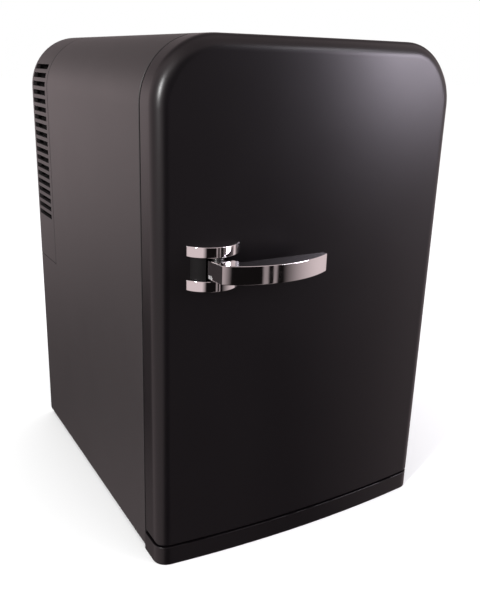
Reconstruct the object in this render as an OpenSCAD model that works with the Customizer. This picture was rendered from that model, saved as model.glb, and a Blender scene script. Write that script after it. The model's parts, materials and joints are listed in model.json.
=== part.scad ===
// Thermoelectric mini fridge for a desk or a car, in millimetres.
// The frame has its origin on the table under the middle of the fridge, +X to the right as seen
// from the front, +Y to the back and +Z up. Inside the modules y is counted from the cabinet's
// front face, the plane that the door closes on, and in_place() moves that plane to the frame.

/* [Cabinet] */
// Height from the table to the top
total_h = 280; // [279:0.5:282]
// Width of the cabinet and of the door
body_w = 182; // [181:0.5:184]
// Depth from the cabinet's front face to the back of the rear cover
body_d = 194; // [194:0.5:197]
// Radius of the two top corners, seen from the front
top_r = 33; // [30:0.5:36]
// Radius of the two bottom corners
low_r = 2; // [2:0.5:4]
// Gap under the cabinet, which is the height of a foot
body_lift = 1.2; // [1:0.1:3]
// Wall of the outer shell
shell_t = 2.2; // [1.8:0.1:2.4]

/* [Door] */
// Depth of the door's side edge, with the seam behind it
door_edge = 19.5; // [19.5:0.5:21]
// How far the door's middle stands in front of its side edges
door_bow = 4.5; // [3:0.5:6]
// Rounding of the door's front edges
soft_r = 8; // [7:0.5:8]
// Gap between the door's edge and the cabinet
seam = 1; // [0.8:0.1:1.2]
// Height of the door's lower edge
door_z = 12.5; // [12.5:0.5:14]
// Wall of the door's outer skin
skin_t = 2; // [1.6:0.1:2]
// How far the door's inner panel reaches into the cavity
plug_d = 8; // [5:0.5:8]

/* [Cavity] */
// Width of the cavity
cavity_w = 136; // [132:1:136]
// Height of the cavity
cavity_h = 212; // [206:1:212]
// Depth of the cavity
cavity_d = 130; // [126:1:130]
// Height of the cavity's floor
cavity_z = 36; // [36:1:38]
// Wall of the inner liner
liner_t = 1.5; // [1.2:0.1:1.5]

/* [Rear cover] */
// Depth of the rear cover
cover_d = 38; // [37:0.5:38]
// Height of the rear cover's lower edge
cover_z = 130; // [128:1:132]
// Wall of the rear cover
cover_t = 2.5; // [2:0.1:2.5]
// Number of air slots in each side
slot_count = 19; // [10:1:19]
// Distance from one slot to the next
slot_pitch = 5.48; // [5.2:0.02:5.6]
// Height of one slot
slot_h = 3.1; // [2.5:0.1:3.5]
// Height of the lowest slot's middle
slot_z = 162.1; // [160:0.1:163]

/* [Handle] */
// Height of the handle's middle
handle_z = 171; // [165:1:177]
// Width of one half-round cheek
cheek_w = 27.7; // [27:0.1:29]
// How far a cheek stands out of the door
cheek_out = 7.4; // [7:0.1:8]
// Thickness of one cheek
cheek_t = 5.5; // [5:0.1:6]
// Gap between the two cheeks
cheek_gap = 11.7; // [11:0.1:12.5]
// Height of the lever's bar
lever_h = 9.5; // [8:0.1:9.8]
// How far the lever reaches in front of the cabinet's face
lever_out = 47.5; // [46:0.1:49]
// How far the flat back of the lever is in front of the cabinet's face
lever_back = 36; // [35:0.1:36.5]
// Distance from the lever's pin to the tip of its bar
lever_len = 56.5; // [50:0.5:58]

/* [Cooling unit] */
// Height of the middle of the cooling unit
cool_z = 205; // [203:1:207]
// Width of the heat sink
sink_w = 100; // [90:1:104]
// Height of the heat sink
sink_h = 90; // [86:2:94]
// Side of the square fan
fan_w = 80; // [80:1:80]
// Depth of the fan
fan_d = 20; // [20:1:20]
// Side of the square thermoelectric module
module_w = 40; // [40:1:40]

/* [Hidden] */
$fn = 96;

half_w = body_w / 2;
face_y = -(body_d - lever_out) / 2;
in_half = half_w - shell_t;
in_low = body_lift + shell_t;
in_top = total_h - shell_t;
frame_t = 3;
lip_w = 2.5;
lip_t = 1;
cav_half = cavity_w / 2;
cav_top = cavity_z + cavity_h;
cav_r = 8;
foam_end = 147;
wall_end = 149;
tube_end = body_d - 1.5;
cover_y = body_d - cover_d;
cover_in = body_d - cover_t;
joint_gap = 0.4;

// Screws
screw_r = 1.4;
screw_head_r = 2.8;
screw_head_h = 1.4;
post_r = 4.5;
cover_screws = [[-72, 142], [72, 142], [-60, 262], [60, 262]];
panel_screws = [[-76, 18], [76, 18], [-76, 118], [76, 118]];

// Door shape
door_mid = door_edge + door_bow;
bow_x = half_w - soft_r;
bow_r = (bow_x * bow_x + door_bow * door_bow) / (2 * door_bow);
soft_y = sqrt(pow(bow_r - soft_r, 2) - bow_x * bow_x) - (bow_r - door_mid);
panel_y = -3;
panel_t = 2;
plug_gap = 3.5;
gasket_in = cav_half + 1;
gasket_w = 5.5;

// Door hinge: the pin stands inside the door's right edge
hinge_x = half_w - 5;
hinge_y = -9;
pin_r = 1.5;
run_gap = 0.05;
arm_t = 3;
arm_r = 4;
arm_zs = [38, 232];
notch_gap = 0.4;
block_half = 10;
swing_r = 8.7;
open_deg = 110;
hinge_screw_x = 79;
hinge_screw_dz = 9;

// Handle
cheek_x = -60.65;
cheek_r = (cheek_w * cheek_w / 4 + cheek_out * cheek_out) / (2 * cheek_out);
cheek_y = -(lever_out - 18.1) + cheek_r;
pivot_x = -61.5;
pivot_y = -26.6;
barrel_r = 5.6;
lever_arc_r = 57.3;
lever_arc_x = -35;
lever_z = handle_z - lever_h / 2;
crease_x = -65.5;
tip_x = pivot_x + lever_len;
window_half = 4.6;
hook_h = 4;
hook_z = handle_z - 0.5;
hook_x = -84;
hook_w = 4;
hook_end = 12;
barb = 1.4;
arm_front = -16;
arm_back = -11.5;
slot_low = hook_z - 1;
slot_high = hook_z + hook_h + 1;
keeper_t = 1.2;
keeper_lo = -88.6;
keeper_hi = -70.2;
keeper_end = 20;
cheek_screws = [-69, -51.5];

// Shelf
shelf_z = 141;
shelf_t = 3;
rib_t = 2.5;
rib_out = 3.5;
rib_front = 14;
rib_back = 124;

// Cooling unit
plate_t = 3;
plate_w = 120;
plate_h = 96;
block_w = 60;
block_end = 145.2;
sink_t = 4;
sink_end = 169;
fin_t = 1.4;
fin_pitch = 5;
sink_screw = 25;
plate_screw = 20;
fan_y = sink_end;
fan_bore = 38;
fan_hole = 35.75;
hub_r = 15;
hub_t = 2.5;
blade_count = 7;
blade_r = 36.8;
blade_tilt = 40;
blade_chord = 17;
blade_t = 1.4;
shaft_r = 1.5;
bearing_r = 3;
tube_r = 4.5;

// Electric parts
board_y = 157;
board_t = 1.6;
board_half = 60;
board_low = 42;
board_high = 118;
board_posts = [[-55, 47], [55, 47], [-55, 113], [55, 113]];
panel_low = in_low + 0.3;
panel_high = cover_z - joint_gap;
panel_wall = 2.2;
panel_front = tube_end - panel_wall;
socket_z = 26;
ac_x = 52;
ac_pin = 4.3;
ac_pin_r = 1.15;
dc_x = 20;
dc_pin = 4;
dc_pin_r = 1.25;
socket_front = 176;
switch_x = -14;
switch_travel = 3;
lens_xs = [-42, -52];
lens_r = 1.5;

// ---- helpers ----

module in_place() {
    translate([0, face_y, 0]) children();
}

// Extrudes a front-view outline, drawn as x and z, from y0 back to y1
module along_y(y0, y1) {
    translate([0, y1, 0]) rotate([90, 0, 0]) linear_extrude(y1 - y0) children();
}

// A box given by its low corner and its high corner
module box(low, high) {
    translate(low) cube(high - low);
}

// A round bar along y
module bar_y(x, z, y0, y1, r) {
    translate([x, y1, z]) rotate([90, 0, 0]) cylinder(r = r, h = y1 - y0);
}

// A screw along y whose head is on the side of "head"
module screw_y(x, z, tip, head, r) {
    bar_y(x, z, min(tip, head), max(tip, head), r);
    head_to = head > tip ? head + screw_head_h : head - screw_head_h;
    bar_y(x, z, min(head, head_to), max(head, head_to), 2 * r);
}

// A front-view outline with two large top corners and two small bottom ones
module outline(half, low, high, r_top, r_low) {
    translate([-half, low + r_low]) square([2 * half, high - low - r_low - r_top]);
    translate([-half + r_top, low + r_low]) square([2 * (half - r_top), high - low - r_low]);
    translate([-half + r_low, low]) square([2 * (half - r_low), high - low - r_top]);
    for (side = [-1, 1]) {
        translate([side * (half - r_top), high - r_top]) circle(r_top);
        translate([side * (half - r_low), low + r_low]) circle(r_low);
    }
}

// The cabinet's front-view outline, moved inwards by "inset"
module body_outline(inset) {
    outline(half_w - inset, body_lift + inset, total_h - inset, top_r - inset, low_r - inset / 2);
}

// The cavity's front-view outline, moved outwards by "grow"
module cavity_outline(grow) {
    outline(cav_half + grow, cavity_z - grow, cav_top + grow, cav_r + grow, cav_r + grow);
}

// The door's plan, moved inwards by "inset": a shallow bow with rounded front corners
module door_plan(inset, rear) {
    arc_x = bow_x * bow_r / (bow_r - soft_r);
    side_w = half_w - inset - bow_x + 2;
    intersection() {
        translate([0, bow_r - door_mid]) circle(bow_r - inset, $fn = 360);
        translate([-arc_x, -door_mid - 1]) square([2 * arc_x, door_mid + 1 + rear]);
    }
    for (side = [-1, 1]) {
        translate([side * bow_x, -soft_y]) circle(soft_r - inset);
        translate([side > 0 ? bow_x - 2 : -bow_x + 2 - side_w, -soft_y]) square([side_w, soft_y + rear]);
    }
}

// The door as one block, moved inwards by "inset" on its front and edges
module door_block(inset, rear) {
    intersection() {
        along_y(-door_mid - 1, rear)
            outline(half_w - inset, door_z + inset, total_h - inset, top_r - inset, low_r - inset / 2);
        linear_extrude(total_h + 1) door_plan(inset, rear);
        translate([-half_w - 1, 0, 0]) rotate([90, 0, 90]) linear_extrude(body_w + 2)
            side_profile(inset, rear);
    }
}

// The door seen from the side, with its top front edge rounded
module side_profile(inset, rear) {
    front = -door_mid + inset;
    r = soft_r - inset;
    translate([front, door_z - 1]) square([rear - front, total_h - inset - r - door_z + 1]);
    translate([front + r, door_z - 1]) square([rear - front - r, total_h - inset - door_z + 1]);
    translate([front + r, total_h - inset - r]) circle(r);
}

// The y of the door's front surface at x, moved inwards by "inset"
function bow_y(x, inset) = bow_r - door_mid - sqrt(pow(bow_r - inset, 2) - x * x);

// Where a hinge arm passes through the door's edge while the door swings
module hinge_notch() {
    for (z = arm_zs) {
        translate([0, 0, z - notch_gap]) linear_extrude(arm_t + 2 * notch_gap) {
            translate([hinge_x, hinge_y]) circle(arm_r + 0.6);
            translate([hinge_x - arm_r - 0.6, hinge_y]) square([half_w, -hinge_y + 1]);
            translate([hinge_x, hinge_y]) rotate(-(open_deg - 85)) translate([0, -arm_r - 0.6])
                square([2 * arm_r + 4, 2 * arm_r]);
        }
    }
}

function unit(v) = v / norm(v);

// A bent round wire through a list of points. "ref" is never parallel to the wire.
module wire(points, r, ref = [0.9, 0.3, 0.2], sides = 8) {
    last = len(points) - 1;
    along = [for (i = [0 : last]) unit(points[min(i + 1, last)] - points[max(i - 1, 0)])];
    across = [for (d = along) unit(cross(d, ref))];
    ring = [for (i = [0 : last], k = [0 : sides - 1])
        points[i] + r * (cos(360 * k / sides) * across[i]
            + sin(360 * k / sides) * cross(along[i], across[i]))];
    skin = [for (i = [0 : last - 1], k = [0 : sides - 1]) let (a = i * sides, b = (k + 1) % sides)
        each [[a + k, a + sides + b, a + b], [a + k, a + sides + k, a + sides + b]]];
    start = [for (k = [0 : sides - 1]) k];
    end = [for (k = [sides - 1 : -1 : 0]) last * sides + k];
    polyhedron(ring, concat(skin, [start, end]));
}

// ---- cabinet ----

module cabinet_shell() {
    color([0.13, 0.12, 0.13]) in_place() difference() {
        along_y(0, tube_end) body_outline(0);
        along_y(-1, tube_end + 1) body_outline(shell_t);
        box([-half_w - 1, cover_y, cover_z], [half_w + 1, body_d, total_h + 1]);
        for (x = [-70, 70]) translate([x, 175, 0]) cylinder(r = 2.5, h = in_low + 1);
    }
}

module front_frame() {
    color([0.1, 0.1, 0.11]) in_place() difference() {
        along_y(0, frame_t) body_outline(shell_t);
        along_y(-1, frame_t + 1) cavity_outline(liner_t);
        along_y(-1, lip_t) cavity_outline(liner_t + lip_w);
        box([keeper_lo + keeper_t, -1, slot_low], [keeper_hi - keeper_t, frame_t + 1, slot_high]);
        for (z = arm_zs) {
            box([hinge_x - arm_r, -1, z], [hinge_x + arm_r - 1.5, frame_t + 1, z + arm_t]);
            for (dz = [-1, 1]) hinge_screw(z + arm_t / 2 + dz * hinge_screw_dz);
        }
        for (side = [-1, 1]) plinth_tab(side);
    }
}

module inner_liner() {
    color([0.82, 0.83, 0.84]) in_place() {
        difference() {
            union() {
                along_y(0, cavity_d + liner_t) cavity_outline(liner_t);
                along_y(0, lip_t) cavity_outline(liner_t + lip_w);
            }
            along_y(-1, cavity_d) cavity_outline(0);
            box([-block_w / 2, cavity_d - 1, cool_z - block_w / 2],
                [block_w / 2, cavity_d + liner_t + 1, cool_z + block_w / 2]);
        }
        for (side = [-1, 1], z = [shelf_z - rib_t, shelf_z + shelf_t + 0.6]) {
            inner = side * (cav_half - rib_out);
            outer = side * (cav_half + liner_t / 2);
            box([min(inner, outer), rib_front, z], [max(inner, outer), rib_back, z + rib_t]);
        }
    }
}

module cabinet_foam() {
    color([0.9, 0.88, 0.8]) in_place() difference() {
        along_y(frame_t, foam_end) body_outline(shell_t);
        along_y(frame_t - 1, cavity_d + liner_t) cavity_outline(liner_t);
        box([-block_w / 2, cavity_d, cool_z - block_w / 2],
            [block_w / 2, foam_end + 1, cool_z + block_w / 2]);
        box([keeper_lo - 0.2, frame_t - 1, slot_low - keeper_t],
            [keeper_hi, keeper_end, slot_high + keeper_t]);
        for (z = arm_zs) {
            bracket_plate(z);
            for (dz = [-1, 1]) {
                bar_y(hinge_screw_x, z + arm_t / 2 + dz * hinge_screw_dz, frame_t, 12, pin_r);
            }
        }
        for (side = [-1, 1]) plinth_tab(side);
    }
}

// A plate behind the foam that carries the posts for everything in the back
module rear_bulkhead() {
    color([0.16, 0.16, 0.17]) in_place() difference() {
        union() {
            along_y(foam_end, wall_end) body_outline(shell_t);
            for (p = cover_screws) bar_y(p[0], p[1], wall_end - 1, cover_in - 3, post_r);
            for (p = panel_screws) bar_y(p[0], p[1], wall_end - 1, panel_front, post_r);
            for (p = board_posts) bar_y(p[0], p[1], wall_end - 1, board_y, 3);
        }
        box([-block_w / 2, foam_end - 1, cool_z - block_w / 2],
            [block_w / 2, wall_end + 1, cool_z + block_w / 2]);
        for (p = cover_screws) bar_y(p[0], p[1], 175, body_d, screw_r);
        for (p = panel_screws) bar_y(p[0], p[1], 178, body_d, screw_r);
        for (p = board_posts) bar_y(p[0], p[1], 151, body_d, 1.2);
    }
}

module rear_panel() {
    color([0.12, 0.12, 0.13]) in_place() difference() {
        along_y(panel_front, tube_end)
            outline(in_half - 0.2, panel_low, panel_high, 1, low_r - 1);
        for (p = panel_screws) bar_y(p[0], p[1], panel_front - 1, body_d, screw_r);
        box([ac_x - 12, panel_front - 1, socket_z - 8], [ac_x + 12, body_d, socket_z + 8]);
        box([dc_x - 11, panel_front - 1, socket_z - 7], [dc_x + 11, body_d, socket_z + 7]);
        box([switch_x - 10, panel_front - 1, socket_z - 5], [switch_x + 10, body_d, socket_z + 5]);
        for (x = lens_xs) bar_y(x, socket_z, panel_front - 1, body_d, lens_r);
    }
}

module rear_panel_screws() {
    color([0.3, 0.3, 0.32]) in_place()
        for (p = panel_screws) screw_y(p[0], p[1], 178, tube_end, screw_r);
}

// One air slot, cut from the side or from behind
module side_slot(i) {
    z = slot_z + i * slot_pitch;
    for (side = [-1, 1]) {
        x0 = side > 0 ? half_w - 10 : -half_w - 1;
        box([x0, cover_y + 5, z - slot_h / 2], [x0 + 11, body_d - 4.5, z + slot_h / 2]);
    }
}

module rear_cover() {
    grille_count = 13;
    color([0.13, 0.12, 0.13]) in_place() difference() {
        union() {
            difference() {
                along_y(cover_y + joint_gap, body_d) body_outline(0);
                along_y(cover_y, cover_in) body_outline(cover_t);
            }
            for (p = cover_screws) bar_y(p[0], p[1], cover_in - 3, body_d, post_r + 0.8);
        }
        box([-half_w - 1, cover_y - 1, 0], [half_w + 1, body_d + 1, cover_z + joint_gap]);
        for (i = [0 : slot_count - 1]) side_slot(i);
        for (i = [0 : grille_count - 1]) {
            z = cool_z + (i - (grille_count - 1) / 2) * slot_pitch;
            w = sqrt(pow(fan_bore + 2, 2) - pow(z - cool_z, 2));
            box([-w, cover_in - 1, z - slot_h / 2], [w, body_d + 1, z + slot_h / 2]);
        }
        for (p = cover_screws) {
            bar_y(p[0], p[1], cover_in - 4, body_d + 1, screw_r);
            bar_y(p[0], p[1], body_d - 2.4, body_d + 1, screw_head_r + 0.4);
        }
    }
}

module rear_cover_screws() {
    color([0.3, 0.3, 0.32]) in_place()
        for (p = cover_screws) screw_y(p[0], p[1], 175, body_d - 2.4, screw_r);
}

// The tab that holds the plinth in the front frame
module plinth_tab(side) {
    box([side * 50 - 8, -1, 6], [side * 50 + 8, 7, 8.5]);
}

module plinth() {
    top = door_z - seam;
    low = 0.3;
    color([0.1, 0.1, 0.11]) in_place() {
        difference() {
            translate([0, 0, low]) linear_extrude(top - low) door_plan(0, 0);
            linear_extrude(top - 2.2) door_plan(2.2, -2.2);
        }
        for (side = [-1, 1]) {
            plinth_tab(side);
            difference() {
                translate([side * 70, -10, body_lift]) cylinder(r = 6, h = top - body_lift - 1);
                translate([side * 70, -10, 0]) cylinder(r = 2.5, h = body_lift + 4);
            }
        }
    }
}

module feet() {
    color([0.08, 0.08, 0.08]) in_place()
        for (x = [-70, 70], y = [-10, 175]) translate([x, y, 0]) {
            cylinder(r = y > 0 ? 8 : 6, h = body_lift);
            cylinder(r = 2.5, h = body_lift + 3.5);
        }
}

module shelf() {
    half = cav_half - 0.7;
    slots = 13;
    color([0.75, 0.77, 0.79]) in_place() difference() {
        union() {
            box([-half, rib_front - 1, shelf_z], [half, rib_back + 2, shelf_z + shelf_t]);
            box([-half + rib_out + 1, rib_front - 1, shelf_z],
                [half - rib_out - 1, rib_front + 1.5, shelf_z + shelf_t + 5]);
        }
        for (i = [0 : slots - 1]) {
            x = (i - (slots - 1) / 2) * 9;
            box([x - 2.5, rib_front + 10, shelf_z - 1], [x + 2.5, rib_back - 8, shelf_z + 9]);
        }
    }
}

// ---- cooling unit ----

module cold_plate() {
    color([0.8, 0.81, 0.83]) in_place() difference() {
        along_y(cavity_d - plate_t, cavity_d)
            outline(plate_w / 2, cool_z - plate_h / 2, cool_z + plate_h / 2 - 12, 6, 6);
        for (dx = [-1, 1], dz = [-1, 1]) cold_screw(dx, dz);
    }
}

// A countersunk screw that holds the cold plate on the block
module cold_screw(dx, dz) {
    translate([dx * plate_screw, cavity_d - plate_t, cool_z + dz * plate_screw])
        rotate([-90, 0, 0]) {
            cylinder(r = screw_r, h = plate_t + 8);
            cylinder(r1 = screw_head_r, r2 = screw_r, h = 1.6);
        }
}

module cold_plate_screws() {
    color([0.6, 0.6, 0.62]) in_place()
        for (dx = [-1, 1], dz = [-1, 1]) cold_screw(dx, dz);
}

module cold_block() {
    color([0.74, 0.75, 0.77]) in_place() difference() {
        box([-block_w / 2, cavity_d, cool_z - block_w / 2],
            [block_w / 2, block_end, cool_z + block_w / 2]);
        for (dx = [-1, 1], dz = [-1, 1]) {
            cold_screw(dx, dz);
            bar_y(dx * sink_screw, cool_z + dz * sink_screw, 137, block_end + 1, screw_r);
        }
    }
}

module peltier_module() {
    h = module_w / 2;
    color([0.93, 0.93, 0.9]) in_place() {
        box([-h, block_end, cool_z - h], [h, block_end + 0.8, cool_z + h]);
        box([-h + 1, block_end + 0.8, cool_z - h + 1], [h - 1, wall_end - 0.8, cool_z + h - 1]);
        box([-h, wall_end - 0.8, cool_z - h], [h, wall_end, cool_z + h]);
    }
}

module module_seal() {
    h = module_w / 2 + 1;
    color([0.25, 0.25, 0.27]) in_place() difference() {
        box([-block_w / 2, block_end, cool_z - block_w / 2],
            [block_w / 2, wall_end, cool_z + block_w / 2]);
        box([-h, block_end - 1, cool_z - h], [h, wall_end + 1, cool_z + h]);
        for (dx = [-1, 1], dz = [-1, 1])
            bar_y(dx * sink_screw, cool_z + dz * sink_screw, 137, wall_end + 1, screw_r);
        box([-14, block_end + 1, cool_z - block_w / 2 - 1], [-10, wall_end + 1, cool_z - h + 1]);
    }
}

module heat_sink() {
    fins = floor(sink_h / fin_pitch);
    color([0.7, 0.71, 0.73]) in_place() difference() {
        union() {
            box([-sink_w / 2, wall_end, cool_z - sink_h / 2],
                [sink_w / 2, wall_end + sink_t, cool_z + sink_h / 2]);
            for (i = [0 : fins]) {
                z = cool_z + (i - fins / 2) * (sink_h - fin_t) / fins;
                box([-sink_w / 2, wall_end + sink_t - 1, z - fin_t / 2],
                    [sink_w / 2, sink_end, z + fin_t / 2]);
            }
        }
        for (dx = [-1, 1], dz = [-1, 1]) {
            bar_y(dx * sink_screw, cool_z + dz * sink_screw, 137, wall_end + sink_t + 1, screw_r);
            bar_y(dx * sink_screw, cool_z + dz * sink_screw, wall_end + sink_t, 180, 4);
            bar_y(dx * fan_hole, cool_z + dz * fan_hole, 163, 180, 1.6);
        }
        box([-14, wall_end - 1, cool_z - sink_h / 2 - 1], [-10, wall_end + 1.6, cool_z - 15]);
    }
}

module heat_sink_screws() {
    color([0.6, 0.6, 0.62]) in_place() for (dx = [-1, 1], dz = [-1, 1])
        screw_y(dx * sink_screw, cool_z + dz * sink_screw, 137, wall_end + sink_t, screw_r);
}

module fan_frame() {
    h = fan_w / 2;
    color([0.07, 0.07, 0.08]) in_place() difference() {
        union() {
            along_y(fan_y, fan_y + hub_t) {
                fan_ring(h);
                translate([0, cool_z]) {
                    circle(hub_r);
                    for (a = [45 : 90 : 315]) rotate(a)
                        translate([hub_r - 2, -1.75]) square([fan_bore - hub_r + 3, 3.5]);
                }
            }
            along_y(fan_y + hub_t, fan_y + fan_d) fan_ring(h);
            bar_y(0, cool_z, fan_y + hub_t, fan_y + 13, tube_r);
        }
        bar_y(0, cool_z, fan_y + 0.8, fan_y + 14, bearing_r);
        for (dx = [-1, 1], dz = [-1, 1])
            bar_y(dx * fan_hole, cool_z + dz * fan_hole, fan_y - 1, fan_y + fan_d + 1, 2.1);
    }
}

// The fan's square frame seen from the front
module fan_ring(h) {
    difference() {
        outline(h, cool_z - h, cool_z + h, 4, 4);
        translate([0, cool_z]) circle(fan_bore);
    }
}

module fan_bearing() {
    color([0.72, 0.55, 0.3]) in_place() difference() {
        bar_y(0, cool_z, fan_y + 1.4, fan_y + 13, bearing_r);
        bar_y(0, cool_z, fan_y, fan_y + 14, shaft_r + run_gap);
    }
}

module fan_stator() {
    poles = 4;
    color([0.72, 0.4, 0.2]) in_place() difference() {
        union() {
            bar_y(0, cool_z, fan_y + 4.5, fan_y + 11.5, tube_r + 1.6);
            for (i = [0 : poles - 1]) translate([0, fan_y, cool_z]) rotate([0, 360 / poles * i, 0])
                box([tube_r + 0.5, 5, -2.2], [11.4, 11, 2.2]);
        }
        bar_y(0, cool_z, fan_y, fan_y + 14, tube_r);
    }
}

module fan_screws() {
    color([0.6, 0.6, 0.62]) in_place() for (dx = [-1, 1], dz = [-1, 1])
        screw_y(dx * fan_hole, cool_z + dz * fan_hole, 163, fan_y + fan_d, 1.6);
}

module fan_rotor() {
    cup_back = fan_y + fan_d - 1.5;
    color([0.09, 0.09, 0.1]) in_place() difference() {
        union() {
            bar_y(0, cool_z, fan_y + 3.2, cup_back, hub_r);
            intersection() {
                bar_y(0, cool_z, fan_y + 3.2, cup_back, blade_r);
                for (i = [0 : blade_count - 1]) translate([0, (fan_y + 3.2 + cup_back) / 2, cool_z])
                    rotate([0, 360 / blade_count * i, 0]) rotate([blade_tilt, 0, 0])
                        box([hub_r - 1, -blade_t / 2, -blade_chord / 2],
                            [blade_r + 1, blade_t / 2, blade_chord / 2]);
            }
        }
        bar_y(0, cool_z, fan_y, cup_back - 2, hub_r - 2);
        bar_y(0, cool_z, fan_y, cup_back - 0.6, shaft_r);
    }
}

module fan_shaft() {
    color([0.75, 0.75, 0.77]) in_place()
        bar_y(0, cool_z, fan_y + 2, fan_y + fan_d - 2.1, shaft_r);
}

// ---- electric parts ----

module circuit_board() {
    color([0.1, 0.32, 0.18]) in_place() difference() {
        along_y(board_y, board_y + board_t) outline(board_half, board_low, board_high, 2, 2);
        for (p = board_posts) bar_y(p[0], p[1], board_y - 1, board_y + 5, 1.2);
    }
}

module board_screws() {
    color([0.6, 0.6, 0.62]) in_place()
        for (p = board_posts) screw_y(p[0], p[1], 151, board_y + board_t, 1.2);
}

// The part of a board piece that stands on the board's rear face
module on_board(x, z, size) {
    y = board_y + board_t;
    box([x - size[0] / 2, y, z - size[2] / 2], [x + size[0] / 2, y + size[1], z + size[2] / 2]);
}

module transformer() {
    color([0.85, 0.75, 0.25]) in_place() {
        on_board(8, 84, [16, 20, 30]);
        on_board(8, 84, [30, 6, 30]);
        on_board(8, 84, [26, 16, 22]);
    }
}

module capacitors() {
    y = board_y + board_t;
    color([0.15, 0.2, 0.4]) in_place() {
        bar_y(40, 96, y, y + 25, 8);
        bar_y(-18, 72, y, y + 18, 5);
        bar_y(-18, 90, y, y + 18, 5);
    }
}

module power_transistor() {
    color([0.55, 0.56, 0.58]) in_place() {
        on_board(36, 66, [28, 22, 3]);
        on_board(36, 70, [10, 16, 5]);
    }
}

module terminal_block() {
    color([0.1, 0.45, 0.25]) in_place() {
        on_board(-42, 82, [10, 10, 36]);
        on_board(20, 53, [36, 8, 8]);
    }
}

module fan_wires() {
    y = board_y + board_t + 10;
    color([0.7, 0.1, 0.1]) in_place() for (dx = [0, 1])
        wire([[-34 - 2.4 * dx, fan_y + 8, cool_z - fan_w / 2], [-34 - 2.4 * dx, fan_y + 8, 140],
            [-44 - 2 * dx, 173, 122], [-44 - 2 * dx, 173, 96], [-44 - 2 * dx, y, 96]], 0.8);
}

module module_wires() {
    y = board_y + board_t + 10;
    color([0.75, 0.12, 0.1]) in_place() for (dx = [0, 1])
        wire([[-11 - 2 * dx, 147.6, cool_z - module_w / 2], [-11 - 2 * dx, 149.8, 176],
            [-11 - 2 * dx, 149.8, 158], [-12 - 2 * dx, 165, 140], [-39 - 1.8 * dx, 173, 104],
            [-39 - 1.8 * dx, 173, 84], [-39 - 1.8 * dx, y, 84]], 0.7);
}

module inlet_wires() {
    y = board_y + board_t + 4;
    color([0.15, 0.15, 0.16]) in_place() for (dx = [-1, 1]) {
        wire([[ac_x + dx * 5, socket_front, socket_z + 2], [ac_x + dx * 5, 172, socket_z + 2],
            [29 + dx * 3, 172, 40], [29 + dx * 3, y, 44], [29 + dx * 3, y, 49]], 1);
        wire([[dc_x + dx * 5, socket_front, socket_z + 2], [dc_x + dx * 5, 174, socket_z + 2],
            [dc_x + dx * 4, 172, socket_z + 4], [11 + dx * 3, 172, 40], [11 + dx * 3, y, 44],
            [11 + dx * 3, y, 49]], 0.9);
        wire([[switch_x + dx * 5, socket_front + 4, socket_z], [switch_x + dx * 5, 172, socket_z],
            [-42 + dx * 2.4, 172, 54], [-42 + dx * 2.4, y, 58], [-42 + dx * 2.4, y, 64]], 0.8);
    }
}

// A figure-of-eight inlet for a two-core mains lead
module ac_inlet() {
    color([0.07, 0.07, 0.07]) in_place() difference() {
        union() {
            box([ac_x - 12, socket_front, socket_z - 8], [ac_x + 12, tube_end, socket_z + 8]);
            box([ac_x - 14, socket_front, socket_z - 10], [ac_x + 14, panel_front, socket_z + 10]);
        }
        along_y(180, body_d) translate([ac_x, socket_z]) {
            for (side = [-1, 1]) translate([side * ac_pin, 0]) circle(3.8);
            translate([-ac_pin, -3.8]) square([2 * ac_pin, 7.6]);
        }
        for (side = [-1, 1]) bar_y(ac_x + side * ac_pin, socket_z, 178, 181, ac_pin_r);
    }
}

module ac_pins() {
    color([0.85, 0.82, 0.7]) in_place()
        for (side = [-1, 1]) bar_y(ac_x + side * ac_pin, socket_z, 178, 189, ac_pin_r);
}

// A two-pin socket for a car lead
module dc_socket() {
    color([0.07, 0.07, 0.07]) in_place() difference() {
        union() {
            box([dc_x - 11, socket_front, socket_z - 7], [dc_x + 11, tube_end, socket_z + 7]);
            box([dc_x - 13, socket_front, socket_z - 9], [dc_x + 13, panel_front, socket_z + 9]);
        }
        along_y(181, body_d) translate([dc_x, socket_z]) {
            translate([-8, -4]) square([16, 8]);
            translate([-2, 3]) square([4, 2.5]);
        }
        for (side = [-1, 1]) bar_y(dc_x + side * dc_pin, socket_z, 178, 182, dc_pin_r);
    }
}

module dc_pins() {
    color([0.85, 0.82, 0.7]) in_place()
        for (side = [-1, 1]) bar_y(dc_x + side * dc_pin, socket_z, 178, 189, dc_pin_r);
}

module switch_housing() {
    color([0.07, 0.07, 0.07]) in_place() difference() {
        union() {
            box([switch_x - 10, socket_front + 4, socket_z - 5], [switch_x + 10, tube_end, socket_z + 5]);
            box([switch_x - 12, socket_front + 4, socket_z - 7], [switch_x + 12, panel_front, socket_z + 7]);
        }
        box([switch_x - 3 - switch_travel - 0.6, 184, socket_z - 3.3],
            [switch_x + 3 + switch_travel + 0.6, body_d, socket_z + 3.3]);
    }
}

module switch_knob() {
    color([0.75, 0.1, 0.08]) in_place() {
        box([switch_x - 3, 184.3, socket_z - 3], [switch_x + 3, tube_end - 1.6, socket_z + 3]);
        for (dx = [-1, 0, 1]) box([switch_x + 2 * dx - 0.5, 190, socket_z - 3],
            [switch_x + 2 * dx + 0.5, tube_end - 0.4, socket_z + 3]);
    }
}

module indicator_lenses() {
    color([0.3, 0.8, 0.35]) in_place() for (x = lens_xs) {
        bar_y(x, socket_z, panel_front - 4, tube_end + 0.3, lens_r);
        bar_y(x, socket_z, panel_front - 1, panel_front, lens_r + 0.6);
    }
}

// ---- door hinge and keeper, fixed to the cabinet ----

module bracket_plate(z) {
    mid = z + arm_t / 2;
    box([72, frame_t, mid - 14], [in_half - 0.4, frame_t + 2, mid + 14]);
}

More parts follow.
